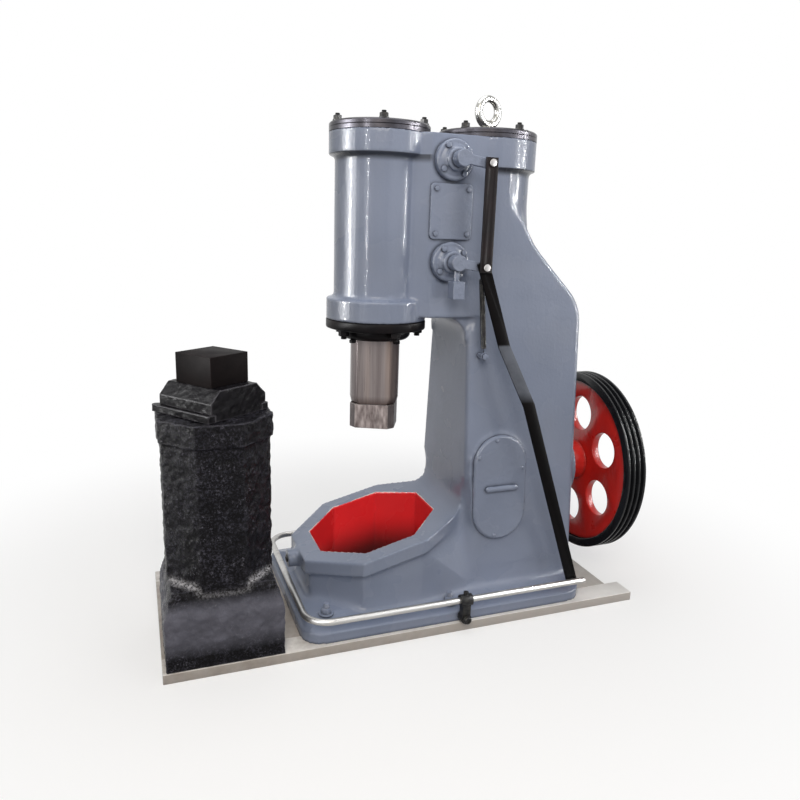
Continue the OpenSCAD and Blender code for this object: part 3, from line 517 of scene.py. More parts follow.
@dataclass(frozen=True)
class TarredCasting(Finish):
    """Rough sand casting under black bitumen paint.

    To the eye: a black, pitted skin, with painted highlights as glints on its grains and edges, a band of
    dust and painted sheen low on the base, and grey along the weld bead. Real sand grains are about half a
    millimetre, and are drawn coarser here so that they show.
    """

    deep: str = "#0C0B0E"
    grain: str = "#3E3E48"
    glint: str = "#6E6E7A"
    bead: str = "#BDBDC2"
    # Colour of the band of dust and painted sheen low on the base.
    dust_and_sheen: str = "#6E6F7B"
    grain_mm: float = 5.5
    grain_deep_mm: float = 2.6
    glint_mm: float = 6.0
    ridge_mm: float = 4.0
    lump_mm: float = 60.0
    dust_and_sheen_low_mm: float = 60.0
    dust_and_sheen_high_mm: float = 190.0
    dust_and_sheen_fade_mm: tuple[float, float] = (50.0, 30.0)

    def pattern(self, tree: Tree, place: Socket) -> dict[str, Node]:
        """Grains as colour and bump, more of them in some places, painted highlights as glints on crests and
        edges, a band of dust and painted sheen, and grey where the mesh marks the bead.

        Args:
            tree: node tree of the material.
            place: object coordinates.

        Returns:
            What feeds each socket of the shader.
        """
        grain = add(tree, "TexNoise", {"Vector": place, "Scale": per_metre(self.grain_mm), "Detail": 5.0,
                                       "Roughness": 0.72})
        lump = add(tree, "TexNoise", {"Vector": place, "Scale": per_metre(self.lump_mm), "Detail": 3.0})
        spark = add(tree, "TexNoise", {"Vector": place, "Scale": per_metre(self.glint_mm), "Detail": 6.0,
                                       "Roughness": 0.8})
        bare = add(tree, "MapRange", (grain, 0.5, 0.62))
        more = add(tree, "MapRange", (lump, 0.35, 0.65, 0.2, 1.0))
        flecks = add(tree, "Math", (bare, more), operation="MULTIPLY")
        # Dust and painted sheen: a lighter band low on the sloping base, where it faces up.
        height = add(tree, "SeparateXYZ", (place,)).outputs[2]
        low, high = self.dust_and_sheen_low_mm, self.dust_and_sheen_high_mm
        slope = stretch(tree, height, low, low + self.dust_and_sheen_fade_mm[0], high, high + self.dust_and_sheen_fade_mm[1])
        dust_and_sheen_cloud = add(tree, "MapRange", (lump, 0.2, 0.8, 0.5, 0.9))
        dust_and_sheen_share = add(tree, "Math", (slope, dust_and_sheen_cloud), operation="MULTIPLY")
        # Painted highlights: glints where the crest mark meets the spark noise, and along outer edges.
        crest = add(tree, "Attribute", attribute_name="crest").outputs["Fac"]
        lit = add(tree, "MapRange", (spark, 0.54, 0.64))
        lit = add(tree, "Math", (crest, lit), operation="MULTIPLY")
        ridge = corners(tree, self.ridge_mm, 1.0, edges=True)
        lit = add(tree, "Math", (lit, ridge), operation="MAXIMUM")
        weld = add(tree, "Attribute", attribute_name="bead").outputs["Fac"]
        crumbs = add(tree, "MapRange", (grain, 0.4, 0.6))
        shown = add(tree, "Math", (weld, crumbs), operation="MULTIPLY")
        tone = self.deep
        layers = ((flecks, self.grain), (dust_and_sheen_share, self.dust_and_sheen), (lit, self.glint), (shown, self.bead))
        for share, colour in layers:
            tone = add(tree, "Mix", {0: share, 6: tone, 7: colour}, **COLOUR)
        sheen = add(tree, "MapRange", (lump, 0.35, 0.65, self.roughness - 0.12, self.roughness + 0.12))
        rough = add(tree, "Bump", {"Height": grain, "Distance": self.grain_deep_mm * MM, "Strength": 1.0})
        return {"Base Color": tone, "Roughness": sheen, "Normal": rough}


@dataclass(frozen=True)
class RolledPlate(Finish):
    """Hot-rolled plate that has stood on a workshop floor.

    To the eye: pale grey, dusty steel with dull edges, trodden patches, and brown soil towards its front end.
    The grain of mill scale is under a millimetre, and is drawn coarser here so that it shows.
    """

    pale: str = "#F5F4F1"
    grime_and_shade: str = "#E8E6E3"
    edge: str = "#B5AFAA"
    soil: str = "#9A9189"
    top_mm: float = 28.0
    edge_share: float = 0.9
    patch_mm: float = 150.0
    soil_from_mm: float = 420.0
    soil_to_mm: float = -420.0
    soil_least: float = 0.15
    soiled: float = 0.0
    grain_mm: float = 5.0
    grain_deep_mm: float = 0.3

    def pattern(self, tree: Tree, place: Socket) -> dict[str, Node]:
        """Patches of grime, a darker tone below the upper face, and soil that grows towards the front.

        Args:
            tree: node tree of the material.
            place: object coordinates.

        Returns:
            What feeds each socket of the shader.
        """
        patch = add(tree, "TexNoise", {"Vector": place, "Scale": per_metre(self.patch_mm), "Detail": 6.0,
                                       "Roughness": 0.6})
        fine = add(tree, "TexNoise", {"Vector": place, "Scale": per_metre(self.patch_mm / 3), "Detail": 6.0,
                                      "Roughness": 0.65})
        dirt = add(tree, "MapRange", (patch, 0.4, 0.7))
        axes = add(tree, "SeparateXYZ", (place,)).outputs
        side = add(tree, "MapRange", (axes[2], (self.top_mm - 0.4) * MM, (self.top_mm - 1.6) * MM, 0.0,
                                      self.edge_share))
        blot = add(tree, "MapRange", (fine, 0.34, 0.66, 0.2, 0.75))
        front = add(tree, "MapRange", (axes[0], self.soil_from_mm * MM, self.soil_to_mm * MM,
                                       self.soil_least + self.soiled, 1.0 + self.soiled))
        soil = add(tree, "Math", (front, blot), operation="MULTIPLY")
        soil = add(tree, "Math", (soil, self.soiled), operation="ADD", use_clamp=True)
        tone = self.pale
        for share, colour in ((dirt, self.grime_and_shade), (side, self.edge), (soil, self.soil)):
            tone = add(tree, "Mix", {0: share, 6: tone, 7: colour}, **COLOUR)
        grain = add(tree, "TexNoise", {"Vector": place, "Scale": per_metre(self.grain_mm), "Detail": 3.0})
        mill = add(tree, "Bump", {"Height": grain, "Distance": self.grain_deep_mm * MM, "Strength": 0.4})
        return {"Base Color": tone, "Normal": mill}


GREY_ENAMEL = GlossEnamel(
    "grey_gloss_enamel", Slot.GREY, roughness=0.26, specular=0.2, coat=0.2, coat_roughness=0.04,
    ripple_mm=16.0, ripple_deep_mm=0.8, peel_mm=5.0)
CASTING_ENAMEL = GlossEnamel(
    "grey_gloss_enamel_on_casting", Slot.GREY, roughness=0.26, specular=0.2, coat=0.2, coat_roughness=0.04,
    well_half_mm=181.5, flange_shadow_lines=((-160.0, 112.0, 1355.0), (290.0, 500.0, 1333.0)))
RED_ENAMEL = GlossEnamel(
    "red_gloss_enamel", Slot.RED, roughness=0.3, specular=0.3, coat=0.2, coat_roughness=0.08, light="#CE2820",
    dark="#BE1E18", dust_and_sheen="#AA352C", grime_and_shade="#4A1512", cloud_mm=150.0)
COVER_STEEL = DarkMetal(
    "oiled_cast_steel", Slot.DARK_STEEL, metallic=0.7, roughness=0.3, specular=0.3, deep="#343338",
    worn="#57555A", wear=0.8, cloud_mm=70.0)
GLAND_BLACK = DarkMetal(
    "black_oil_paint", Slot.BLACK, roughness=0.36, specular=0.06, deep="#131215", worn="#332B29")
RIM_BLACK = DarkMetal(
    "black_gloss_enamel", Slot.BLACK, roughness=0.24, specular=0.22, coat=0.08, deep="#101114",
    worn="#1A1B1E", grit_mm=12.0)
BAR_BLACK = DarkMetal(
    "blackened_bar", Slot.BAR, roughness=0.42, specular=0.12, deep="#181415", worn="#332A2B", wear=0.5)
# The bent bar's painted sheen band stands in for light on the face that bends outwards.
BENT_BAR_BLACK = DarkMetal(
    "blackened_bent_bar", Slot.BAR, roughness=0.4, specular=0.03, deep="#0D0C0D", worn="#1F1B1C", wear=0.4,
    sheen_band="#646973", sheen_band_low_mm=685.0, sheen_band_high_mm=845.0)
FORGED_BLACK = DarkMetal(
    "black_oxide_screws", Slot.BAR, metallic=0.3, roughness=0.38, specular=0.25, deep="#1A1A1D",
    worn="#55544F", wear=0.6, cloud_mm=14.0)
DIE_BLACK = DarkMetal(
    "ground_and_blackened_die", Slot.DIE, roughness=0.46, specular=0.015, deep="#171415", worn="#2A2424",
    cloud_mm=120.0, wear=0.6, edge="#3D3739", edge_mm=2.0)
CASTING_BLACK = TarredCasting("tarred_sand_casting", Slot.CASTING, roughness=0.3, specular=0.06)
SATIN_STEEL = DrawnSteel(
    "drawn_bright_steel", Slot.BRIGHT_STEEL, metallic=0.9, roughness=0.32, light="#B9B8B6", dark="#AAA9A7",
    along=(1.0, 0.0, 0.0), stretched=12.0, stained=0.06)
PIN_STEEL = DrawnSteel(
    "dulled_pin_steel", Slot.BRIGHT_STEEL, metallic=0.8, roughness=0.42, light="#A5A3A2", dark="#8D8B8A",
    stained=0.2)
PLATED_STEEL = DrawnSteel(
    "zinc_plated_steel", Slot.BRIGHT_STEEL, metallic=1.0, roughness=0.16, light="#BDBDB9", dark="#9C9C98",
    stained=0.05)
RAM_STEEL = DrawnSteel(
    "ground_ram_steel", Slot.RAM, metallic=0.55, roughness=0.34, specular=0.2, light="#928A89",
    dark="#675F5F", stain="#8E735F", streak_mm=20.0, stained=0.35, scale_low_mm=650.0, scale_high_mm=672.0)
FORGE_WORN_STEEL = DrawnSteel(
    "forge_worn_die_steel", Slot.RAM, metallic=0.5, roughness=0.42, specular=0.2, light="#A79D9B",
    dark="#665C5B", stain="#453D3D", streak_mm=11.0, stretched=3.0, stained=0.6, scale="#3F3A3B", edge_mm=1.8,
    blackened=0.85)
SOW_BLACK = DarkMetal(
    "tarred_machined_iron", Slot.CASTING, roughness=0.3, specular=0.05, deep="#0C0B0E", worn="#2E2D32",
    cloud_mm=16.0, grit_mm=5.0, wear=0.6, dent_mm=0.9, edge_mm=4.0)
PLATE = RolledPlate("rolled_plate", Slot.BED, roughness=0.55, specular=0.3)
DECK_PLATE = RolledPlate(
    "soiled_rolled_plate", Slot.BED, roughness=0.6, specular=0.3, pale="#CFCCC8", grime_and_shade="#ACA7A1",
    soiled=0.12)


# Surfaces as whole arrays


@dataclass
class Surface:
    """Points of a surface in millimetres, and its four-sided faces."""

    points: np.ndarray
    faces: np.ndarray

    @staticmethod
    def grid(points: np.ndarray) -> "Surface":
        """Surface through a grid of points, whose last column joins the first.

        Args:
            points: array of rows by columns by 3.

        Returns:
            The surface, with one face between each four neighbours.
        """
        left = np.arange(points.shape[0] * points.shape[1]).reshape(points.shape[:2])
        right = np.roll(left, -1, axis=1)
        faces = np.stack([left[:-1], right[:-1], right[1:], left[1:]], axis=-1).reshape(-1, 4)
        return Surface(points.reshape(-1, 3), faces)

    @staticmethod
    def turned(rows: Sequence[tuple[Radius, Radius]], steps: int = 48) -> "Surface":
        """Turned surface: each row is a ring at one radius and height, which may vary round the axis.

        A point is (r cos t, r sin t, z), with t in equal steps round the Z axis.

        Args:
            rows: radius and height of each ring, from top to bottom.
            steps: points round the axis.

        Returns:
            The closed surface.
        """
        angle = np.arange(steps) * 2 * np.pi / steps
        radius = np.stack([np.broadcast_to(r, steps) for r, _ in rows])
        height = np.stack([np.broadcast_to(z, steps) for _, z in rows])
        return Surface.grid(np.stack([radius * np.cos(angle), radius * np.sin(angle), height], axis=-1))

    @staticmethod
    def swept(path: np.ndarray, section: np.ndarray, up: Point) -> "Surface":
        """Section carried along a path, with both ends closed.

        At each path point the section's first axis is tangent x up and its second completes the square frame.

        Args:
            path: points of the path, m by 3.
            section: points of the closed section, k by 2.
            up: direction that is never along the path.

        Returns:
            The closed surface.
        """
        tangent = np.gradient(path, axis=0)
        tangent /= np.linalg.norm(tangent, axis=1, keepdims=True)
        side = np.cross(tangent, np.asarray(up, float))
        side /= np.linalg.norm(side, axis=1, keepdims=True)
        rise = np.cross(side, tangent)
        rings = path[:, None] + section[None, :, :1] * side[:, None] + section[None, :, 1:] * rise[:, None]
        ends = [np.repeat(path[i][None, None], len(section), axis=1) for i in (0, -1)]
        return Surface.grid(np.concatenate([ends[0], rings, ends[1]]))

    @staticmethod
    def joined(parts: Sequence["Surface"]) -> "Surface":
        """One surface made of several.

        Args:
            parts: the surfaces.

        Returns:
            All of their points and faces.
        """
        starts = np.cumsum([0] + [len(p.points) for p in parts[:-1]])
        faces = np.concatenate([p.faces + s for p, s in zip(parts, starts)])
        return Surface(np.concatenate([p.points for p in parts]), faces)

    def placed(self, origin: Point, axis: Point = (0, 0, 1), turn_deg: float = 0.0) -> "Surface":
        """Copy with its Z axis turned to an axis, and its origin moved.

        Args:
            origin: where the local origin goes.
            axis: where the local Z axis points.
            turn_deg: turn about the local Z axis first.

        Returns:
            The placed copy.
        """
        turn = Matrix.Rotation(math.radians(turn_deg), 3, "Z")
        turn = Vector(axis).to_track_quat("Z", "Y").to_matrix() @ turn
        return Surface(self.points @ np.array(turn).T + np.asarray(origin, float), self.faces)

    def swollen(self, height: np.ndarray) -> "Surface":
        """Copy with each point moved out along its normal by its own height."""
        return Surface(self.points + self.outward() * height[:, None], self.faces)

    def mesh(self, name: str, sharp_deg: float = 38.0) -> bpy.types.Mesh:
        """Mesh of this surface in metres, with its poles merged and its faces pointing outwards.

        Args:
            name: name of the mesh.
            sharp_deg: edges sharper than this stay sharp in the shading.

        Returns:
            The Blender mesh.
        """
        mesh = self.skin(name)
        tidy_mesh(mesh, sharp_deg)
        return mesh

    def skin(self, name: str) -> bpy.types.Mesh:
        """Smooth mesh of this surface in metres, for a closed skin that has no doubles.

        Args:
            name: name of the mesh.

        Returns:
            The Blender mesh.
        """
        mesh = bpy.data.meshes.new(name)
        mesh.from_pydata((self.points * MM).tolist(), [], self.faces.tolist())
        mesh.shade_smooth()
        return mesh

    def outward(self) -> np.ndarray:
        """Unit normals at the points: the mean of the normals of the faces round each one.

        Returns:
            One normal for each point.
        """
        corner = self.points[self.faces]
        normal = np.cross(corner[:, 2] - corner[:, 0], corner[:, 3] - corner[:, 1])
        index, count = self.faces.ravel(), len(self.points)
        total = np.stack([np.bincount(index, np.repeat(normal[:, k], 4), count) for k in range(3)], axis=1)
        return total / np.maximum(np.linalg.norm(total, axis=1, keepdims=True), 1e-12)


@dataclass
class Neighbours:
    """Which points of a surface share an edge, for means taken all at once."""

    start: np.ndarray
    end: np.ndarray
    count: int
    number: np.ndarray

    @staticmethod
    def of(surface: Surface) -> "Neighbours":
        """Neighbours of each point of a surface of quads.

        Args:
            surface: the surface.

        Returns:
            Both ends of every edge of every face.
        """
        edges = np.concatenate([surface.faces[:, [i, (i + 1) % 4]] for i in range(4)])
        count = len(surface.points)
        number = np.maximum(np.bincount(edges[:, 0], minlength=count), 1)
        return Neighbours(edges[:, 0], edges[:, 1], count, number)

    def mean(self, values: np.ndarray) -> np.ndarray:
        """Mean of the neighbours' values, one column at a time.

        Args:
            values: one row for each point.

        Returns:
            The means, in the same form.
        """
        columns = [np.bincount(self.start, values[self.end, k], self.count) / self.number
                   for k in range(values.shape[1])]
        return np.stack(columns, axis=1)


def tidy_mesh(mesh: bpy.types.Mesh, sharp_deg: float, outwards: bool = True) -> None:
    """Merges doubles, turns faces outwards and sets smooth shading with sharp edges.

    Args:
        mesh: mesh to change.
        sharp_deg: edges sharper than this stay sharp in the shading.
        outwards: whether the normals are worked out again.
    """
    work = bmesh.new()
    work.from_mesh(mesh)
    bmesh.ops.remove_doubles(work, verts=work.verts, dist=WELD_M)
    bmesh.ops.dissolve_degenerate(work, edges=work.edges, dist=1e-7)
    if outwards:
        bmesh.ops.recalc_face_normals(work, faces=work.faces)
    work.to_mesh(mesh)
    work.free()
    mesh.shade_smooth()
    mesh.set_sharp_from_angle(angle=math.radians(sharp_deg))


def put(name: str, data: bpy.types.ID) -> bpy.types.Object:
    """Puts a new object with its data into the scene.

    Args:
        name: name of the object.
        data: its mesh, lamp or camera.

    Returns:
        The new object.
    """
    made = bpy.data.objects.new(name, data)
    bpy.context.scene.collection.objects.link(made)
    return made


def modify(piece: bpy.types.Object, kind: str, **settings: Any) -> None:
    """Gives an object a modifier with its settings.

    Args:
        piece: the object.
        kind: kind of modifier.
        settings: its properties.
    """
    change = piece.modifiers.new(kind.lower(), kind)
    for name, value in settings.items():
        setattr(change, name, value)


def show(name: str, mesh: bpy.types.Mesh, finish: Finish, body: Body | None, *nodes: str) -> bpy.types.Object:
    """Puts a mesh into the scene as a piece of the machine.

    Args:
        name: name of the piece.
        mesh: its mesh, in place.
        finish: its finish.
        body: the body that it rides on, or none for a piece that bends between two.
        nodes: the solids that it stands for.

    Returns:
        The new object.
    """
    piece = put(name, mesh)
    mesh.materials.clear()
    mesh.materials.append(finish.material())
    if body:
        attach(piece, body.value)
    if nodes:
        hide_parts(*nodes)
    LOG.info("%s: %d faces on %s", name, len(mesh.polygons), body.value if body else "two bodies")
    return piece


def dress(node: str, finish: Finish, ease_mm: float) -> None:
    """Gives a solid its finish and eases its edges with a small bevel.

    Args:
        node: name of the solid.
        finish: finish to give it.
        ease_mm: width of the eased edges.
    """
    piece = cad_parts[node]
    piece.data.materials.clear()
    piece.data.materials.append(finish.material())
    piece.data.shade_smooth()
    modify(piece, "WELD", merge_threshold=WELD_M)
    modify(piece, "DECIMATE", decimate_type="DISSOLVE", angle_limit=math.radians(FLAT_DEG))
    modify(piece, "BEVEL", width=ease_mm * MM, segments=2, limit_method="ANGLE",
           angle_limit=math.radians(EASE_DEG), use_clamp_overlap=True, harden_normals=True)
    LOG.info("%s dressed as %s", node, finish.name)


def node_box(node: str) -> tuple[np.ndarray, np.ndarray]:
    """Lowest and highest corner of a solid, in millimetres."""
    low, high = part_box(node)
    return np.array(low) / MM, np.array(high) / MM


def circle_section(radius: float, sides: int) -> np.ndarray:
    """Points of a round section."""
    angle = np.arange(sides) * 2 * np.pi / sides
    return radius * np.stack([np.cos(angle), np.sin(angle)], axis=-1)


def octagon_reach(points: np.ndarray) -> np.ndarray:
    """Half width of the level octagon through a point: the largest of |x|, |y| and (|x| + |y|) / root 2."""
    x, y = np.abs(points[:, 0]), np.abs(points[:, 1])
    return np.maximum(np.maximum(x, y), (x + y) * math.sqrt(0.5))


def value_noise(points: np.ndarray, cell: float, seed: int = 0) -> np.ndarray:
    """Smooth noise: random values on a cubic lattice, blended by smoothstep along each axis.

    Args:
        points: places, n by 3.
        cell: lattice spacing.
        seed: picks another lattice.

    Returns:
        One value from -1 to 1 for each place.
    """
    grid = points / cell
    base = np.floor(grid).astype(np.int64)
    part = grid - base
    part = part * part * (3 - 2 * part)
    total = np.zeros(len(points))
    for corner in np.ndindex(2, 2, 2):
        key = (base + corner) @ np.array([73856093, 19349663, 83492791]) + seed * 2654435761
        key = (key ^ (key >> 13)) * 1274126177 & 0x7FFFFFFF
        key = (key ^ (key >> 15)) * 2246822519 & 0x7FFFFFFF
        weight = np.prod(np.where(np.array(corner), part, 1 - part), axis=1)
        total += weight * (key / 0x3FFFFFFF - 1)
    return total


def lumps(points: np.ndarray, layers: Sequence[Layer]) -> np.ndarray:
    """Sum of layers of smooth noise, each with its own height, lattice spacing and seed."""
    return sum(height * value_noise(points, cell, seed) for height, cell, seed in layers)


def evaluated(mesh: bpy.types.Mesh, kind: str, **settings: Any) -> bpy.types.Mesh:
    """New mesh with one modifier applied.

    Args:
        mesh: mesh to start from, which is used up.
        kind: kind of modifier.
        settings: its properties.

    Returns:
        The changed mesh.
    """
    work = put("work", mesh)
    modify(work, kind, **settings)
    made = bpy.data.meshes.new_from_object(work.evaluated_get(bpy.context.evaluated_depsgraph_get()))
    bpy.data.objects.remove(work)
    bpy.data.meshes.remove(mesh)
    return made


def remeshed(node: str, voxel: float) -> Surface:
    """Even quads over a solid.

    Args:
        node: name of the solid.
        voxel: size of the quads.

    Returns:
        The surface, with corners as sharp as the quads allow.
    """
    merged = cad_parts[node].data.copy()
    tidy_mesh(merged, 30.0, outwards=False)
    made = evaluated(merged, "REMESH", mode="VOXEL", voxel_size=voxel * MM)
    points = np.empty(len(made.vertices) * 3, np.float32)
    made.vertices.foreach_get("co", points)
    index = np.empty(len(made.loops), np.int32)
    made.loops.foreach_get("vertex_index", index)
    LOG.info("%s remeshed: %d faces", node, len(made.polygons))
    bpy.data.meshes.remove(made)
    return Surface(points.reshape(-1, 3).astype(float) / MM, index.reshape(-1, 4))


def relaxed(surface: Surface, rounds: int) -> Surface:
    """Rounds edges off: each point moves half way to its neighbours' mean, then a little more than back.

    Args:
        surface: surface to round.
        rounds: number of passes.

    Returns:
        The rounded surface.
    """
    near = Neighbours.of(surface)
    points = surface.points
    for step in (0.5, -0.53) * rounds:
        points = points + step * (near.mean(points) - points)
    return Surface(points, surface.faces)


def filled(surface: Surface, rounds: int, share: np.ndarray) -> Surface:
    """Fills hollow corners: a point moves towards its neighbours' mean only where that lies outside the skin.

    Args:
        surface: surface to fill.
        rounds: number of passes.
        share: how much each point takes part, from 0 to 1.

    Returns:
        The surface with fillets.
    """
    near = Neighbours.of(surface)
    made = Surface(surface.points, surface.faces)
    for turn in range(rounds):
        if turn % FRESH_NORMALS == 0:
            normal = made.outward()
        step = near.mean(made.points) - made.points
        hollow = (step * normal).sum(axis=1) > 0
        made.points = made.points + (0.5 * share * hollow)[:, None] * step
    return made


def cast_piece(name: str, node: str, voxel: float = 1.6, rounds: int = 3, lump: float = 0.45,
               body: Body = Body.FRAME) -> None:
    """Replaces a solid by its cast skin in grey enamel: soft edges, and lumps as of thick paint.

    Args:
        name: name of the piece.
        node: the solid.
        voxel: size of the quads.
        rounds: how far the edges are rounded.
        lump: height of the lumps.
        body: body that it rides on.
    """
    skin = relaxed(remeshed(node, voxel), rounds)
    rough = lumps(skin.points, PAINT_LUMPS)
    show(name, skin.swollen(lump * rough - 0.5 * lump).skin(name), GREY_ENAMEL, body, node)


# Fasteners


def hex_radius(across_flats: float, steps: int) -> np.ndarray:
    """Radius of a hexagon round its axis: half its width, over the cosine of the angle off a flat."""
    angle = np.degrees(np.arange(steps) * 2 * np.pi / steps)
    return across_flats / 2 / np.cos(np.radians((angle + 30) % 60 - 30))


@dataclass(frozen=True)
class Fastener:
    """One fastener, drawn up from the face that it sits on.

    The hexagon's corners are cut by a cone of 30 degrees: its height falls by (r - r_chamfer) tan 30.
    The shares are of the width across the head, the socket's depth is a share of the head's height, and the
    thread's depth and the stud's tip are shares of its radius.
    """

    head: Head
    across: float
    height: float
    washer: float = 0.0
    stud: float = 0.0
    washer_share: float = 0.14
    flat_share: float = 0.47
    socket_share: float = 0.5
    edge_share: float = 0.08
    stud_share: float = 0.32
    washer_ease: float = 0.25
    socket_depth: float = 0.6
    thread: float = 2.2
    thread_depth: float = 0.1
    stud_tip: float = 0.6
    stud_tip_share: float = 0.8
    sides: int = 24

    def surface(self) -> Surface:
        """Builds the head with its washer and stud.

        Returns:
            The fastener's surface, on its own axis.
        """
        parts = []
        seat = 0.0
        if self.washer:
            seat = self.washer_share * self.across
            edge = self.washer_ease * seat
            parts.append([(0, seat), (self.washer - edge, seat), (self.washer, seat - edge), (self.washer, 0),
                          (0, 0)])
        top = seat + self.height
        if self.head in (Head.NUT_ON_STUD, Head.HEX_BOLT):
            radius = hex_radius(self.across, self.sides)
            flat = self.flat_share * self.across
            bevel = (radius - flat) * math.tan(math.radians(30))
            parts.append([(0, top), (flat, top), (radius, top - bevel), (radius, seat), (0, seat)])
        elif self.head is Head.SOCKET_SCREW:
            radius = self.across / 2
            socket = hex_radius(self.socket_share * self.across, self.sides)
            edge = self.edge_share * self.across
            deep = top - self.socket_depth * self.height
            parts.append([(0, deep), (socket, deep), (socket, top), (radius - edge, top),
                          (radius, top - edge), (radius, seat), (0, seat)])
        else:
            slope = np.linspace(0, 0.5 * np.pi, 5)
            dome = [(self.across / 2 * math.sin(a), seat + self.height * math.cos(a)) for a in slope]
            parts.append([*dome, (0, seat)])
        turned = [Surface.turned(rows, self.sides) for rows in parts]
        if self.stud:
            turned.append(self.stud_end(top))
        return Surface.joined(turned)

    def stud_end(self, low: float) -> Surface:
        """Threaded end of a stud over its nut: rings that go in and out by a tenth of the radius.

        Args:
            low: height of the nut's top.

        Returns:
            The stud's surface.
        """
        radius = self.stud_share * self.across
        turns = max(3, int(self.stud / self.thread))
        level = np.linspace(low + self.stud, low, 2 * turns)
        tip = level[0] + self.stud_tip
        rows = [(0, tip), (self.stud_tip_share * radius, tip)]
        rows += [(radius * (1 - self.thread_depth * (i % 2)), z) for i, z in enumerate(level)]
        return Surface.turned([*rows, (0, low)], 16)


def ring_places(centre: Point, radius: float, count: int, start_deg: float) -> list[tuple[float, ...]]:
    """Places spaced evenly on a level circle."""
    turns = [math.radians(start_deg + 360 * k / count) for k in range(count)]
    return [(centre[0] + radius * math.cos(a), centre[1] + radius * math.sin(a), centre[2]) for a in turns]


def fasten(name: str, kind: Fastener, places: Sequence[Point], axis: Point, finish: Finish,
           body: Body = Body.FRAME) -> None:
    """Puts a row of like fasteners on a face, each turned a little further, as one piece.

    Args:
        name: name of the piece.
        kind: the fastener.
        places: where each one sits.
        axis: direction out of the face.
        finish: finish of them all.
        body: body that they ride on.
    """
    one = kind.surface()
    rows = [one.placed(p, axis, SCREW_STEP_DEG * i) for i, p in enumerate(places)]
    show(name, Surface.joined(rows).mesh(name), finish, body)


# Sub-assemblies


@dataclass
class Bed:
    """Deck plate and its two rails."""

    rails: tuple[str, ...] = ("bed_rail_near", "bed_rail_far")

    def build(self) -> None:
        """Dresses the plates."""
        dress("bed_deck", DECK_PLATE, 1.0)
        for node in self.rails:
            dress(node, PLATE, 1.5)


@dataclass(frozen=True)
class RearOutline:
    """Rear outline of the column: upright, a round crest, a slope at 45 degrees and a hollow sweep.

    The sweep's radius is the one at which crest, slope and sweep share one tangent line.
    """

    rear: float = 625.0
    shoulder: float = 888.0
    crest: float = 95.0
    sweep_end: float = 385.0
    sweep_top: float = 1310.0

    def reach(self, height: np.ndarray) -> np.ndarray:
        """Distance of the rear face behind the ram axis at each height.

        Args:
            height: heights above the floor.

        Returns:
            One distance for each height.
        """
        turn = math.radians(45)
        along = self.sweep_end - self.rear + self.sweep_top - self.shoulder
        sweep = along * math.cos(turn) / (1 - math.cos(turn)) - self.crest
        out, back = np.linspace(0, turn, 12), np.linspace(turn, 0, 16)
        levels = np.concatenate([self.shoulder + self.crest * np.sin(out),
                                 self.sweep_top - sweep * np.sin(back)])
        reaches = np.concatenate([self.rear - self.crest * (1 - np.cos(out)),
                                  self.sweep_end + sweep * (1 - np.cos(back))])
        return np.interp(height, levels, reaches)


@dataclass(frozen=True)
class ColumnEdges:
    """Tighter upright edges and a fuller shoulder than the column's solid has."""

    solid: RearOutline = RearOutline()
    shown: RearOutline = RearOutline(shoulder=893.0, crest=130.0, sweep_end=387.0)
    front: float = 240.0
    solid_round: float = 45.0
    shown_round: float = 18.0
    foot_z: float = 28.0
    foot_half: float = 202.0
    straight_z: float = 1008.0
    straight_half: float = 132.0
    front_range: tuple[float, ...] = (385.0, 430.0, 875.0, 900.0)
    rear_range: tuple[float, ...] = (110.0, 135.0, 1180.0, 1240.0)
    skin: float = 6.0
    push_depth: float = 120.0

    def squared(self, points: np.ndarray) -> np.ndarray:
        """Moves the skin's corners out to the tighter round, and the shoulder back to its fuller outline.

        A corner point moves along its ray from the corner's centre, from the solid's arc of radius R to the
        square of side R whose corner has the radius r.

        Args:
            points: points of the skin.

        Returns:
            The moved points.
        """
        height = points[:, 2]
        wall = np.interp(height, (self.foot_z, self.straight_z), (self.foot_half, self.straight_half))
        rear = self.solid.reach(height)
        moved = points.copy()
        for way, face, limits in ((1, rear, self.rear_range), (-1, self.front, self.front_range)):
            across = np.abs(points[:, 1]) - wall + self.solid_round
            along = way * (points[:, 0] - face) + self.solid_round
            size = np.maximum(np.hypot(across, along), 1e-6)
            share = np.interp(height, limits, (0, 1, 1, 0))
            share = share * ((across > 0) & (along > 0) & (np.abs(size - self.solid_round) < self.skin))
            grow = share * (self.corner_reach(across / size, along / size) / self.solid_round - 1)
            moved[:, 0] += grow * way * along
            moved[:, 1] += grow * np.sign(points[:, 1]) * across
        part = np.clip((points[:, 0] - rear + self.push_depth) / self.push_depth, 0, 1)
        push = (self.shown.reach(height) - rear) * np.interp(height, self.rear_range, (0, 1, 1, 0))
        moved[:, 0] += push * part * part * (3 - 2 * part)
        return moved

    def corner_reach(self, across: np.ndarray, along: np.ndarray) -> np.ndarray:
        """Length of a ray of the given direction, from the corner's centre out to the tighter corner.

        Args:
            across: share of the direction across the machine.
            along: share of the direction along the machine.

        Returns:
            One length for each direction.
        """
        low, high = np.minimum(across, along), np.maximum(across, along)
        flat = self.solid_round - self.shown_round
        ahead = flat * (low + high)
        bent = ahead + np.sqrt(np.maximum(ahead ** 2 - 2 * flat ** 2 + self.shown_round ** 2, 0))
        straight = self.solid_round / np.maximum(high, 1e-6)
        return np.where(self.solid_round * low <= flat * high, straight, bent)


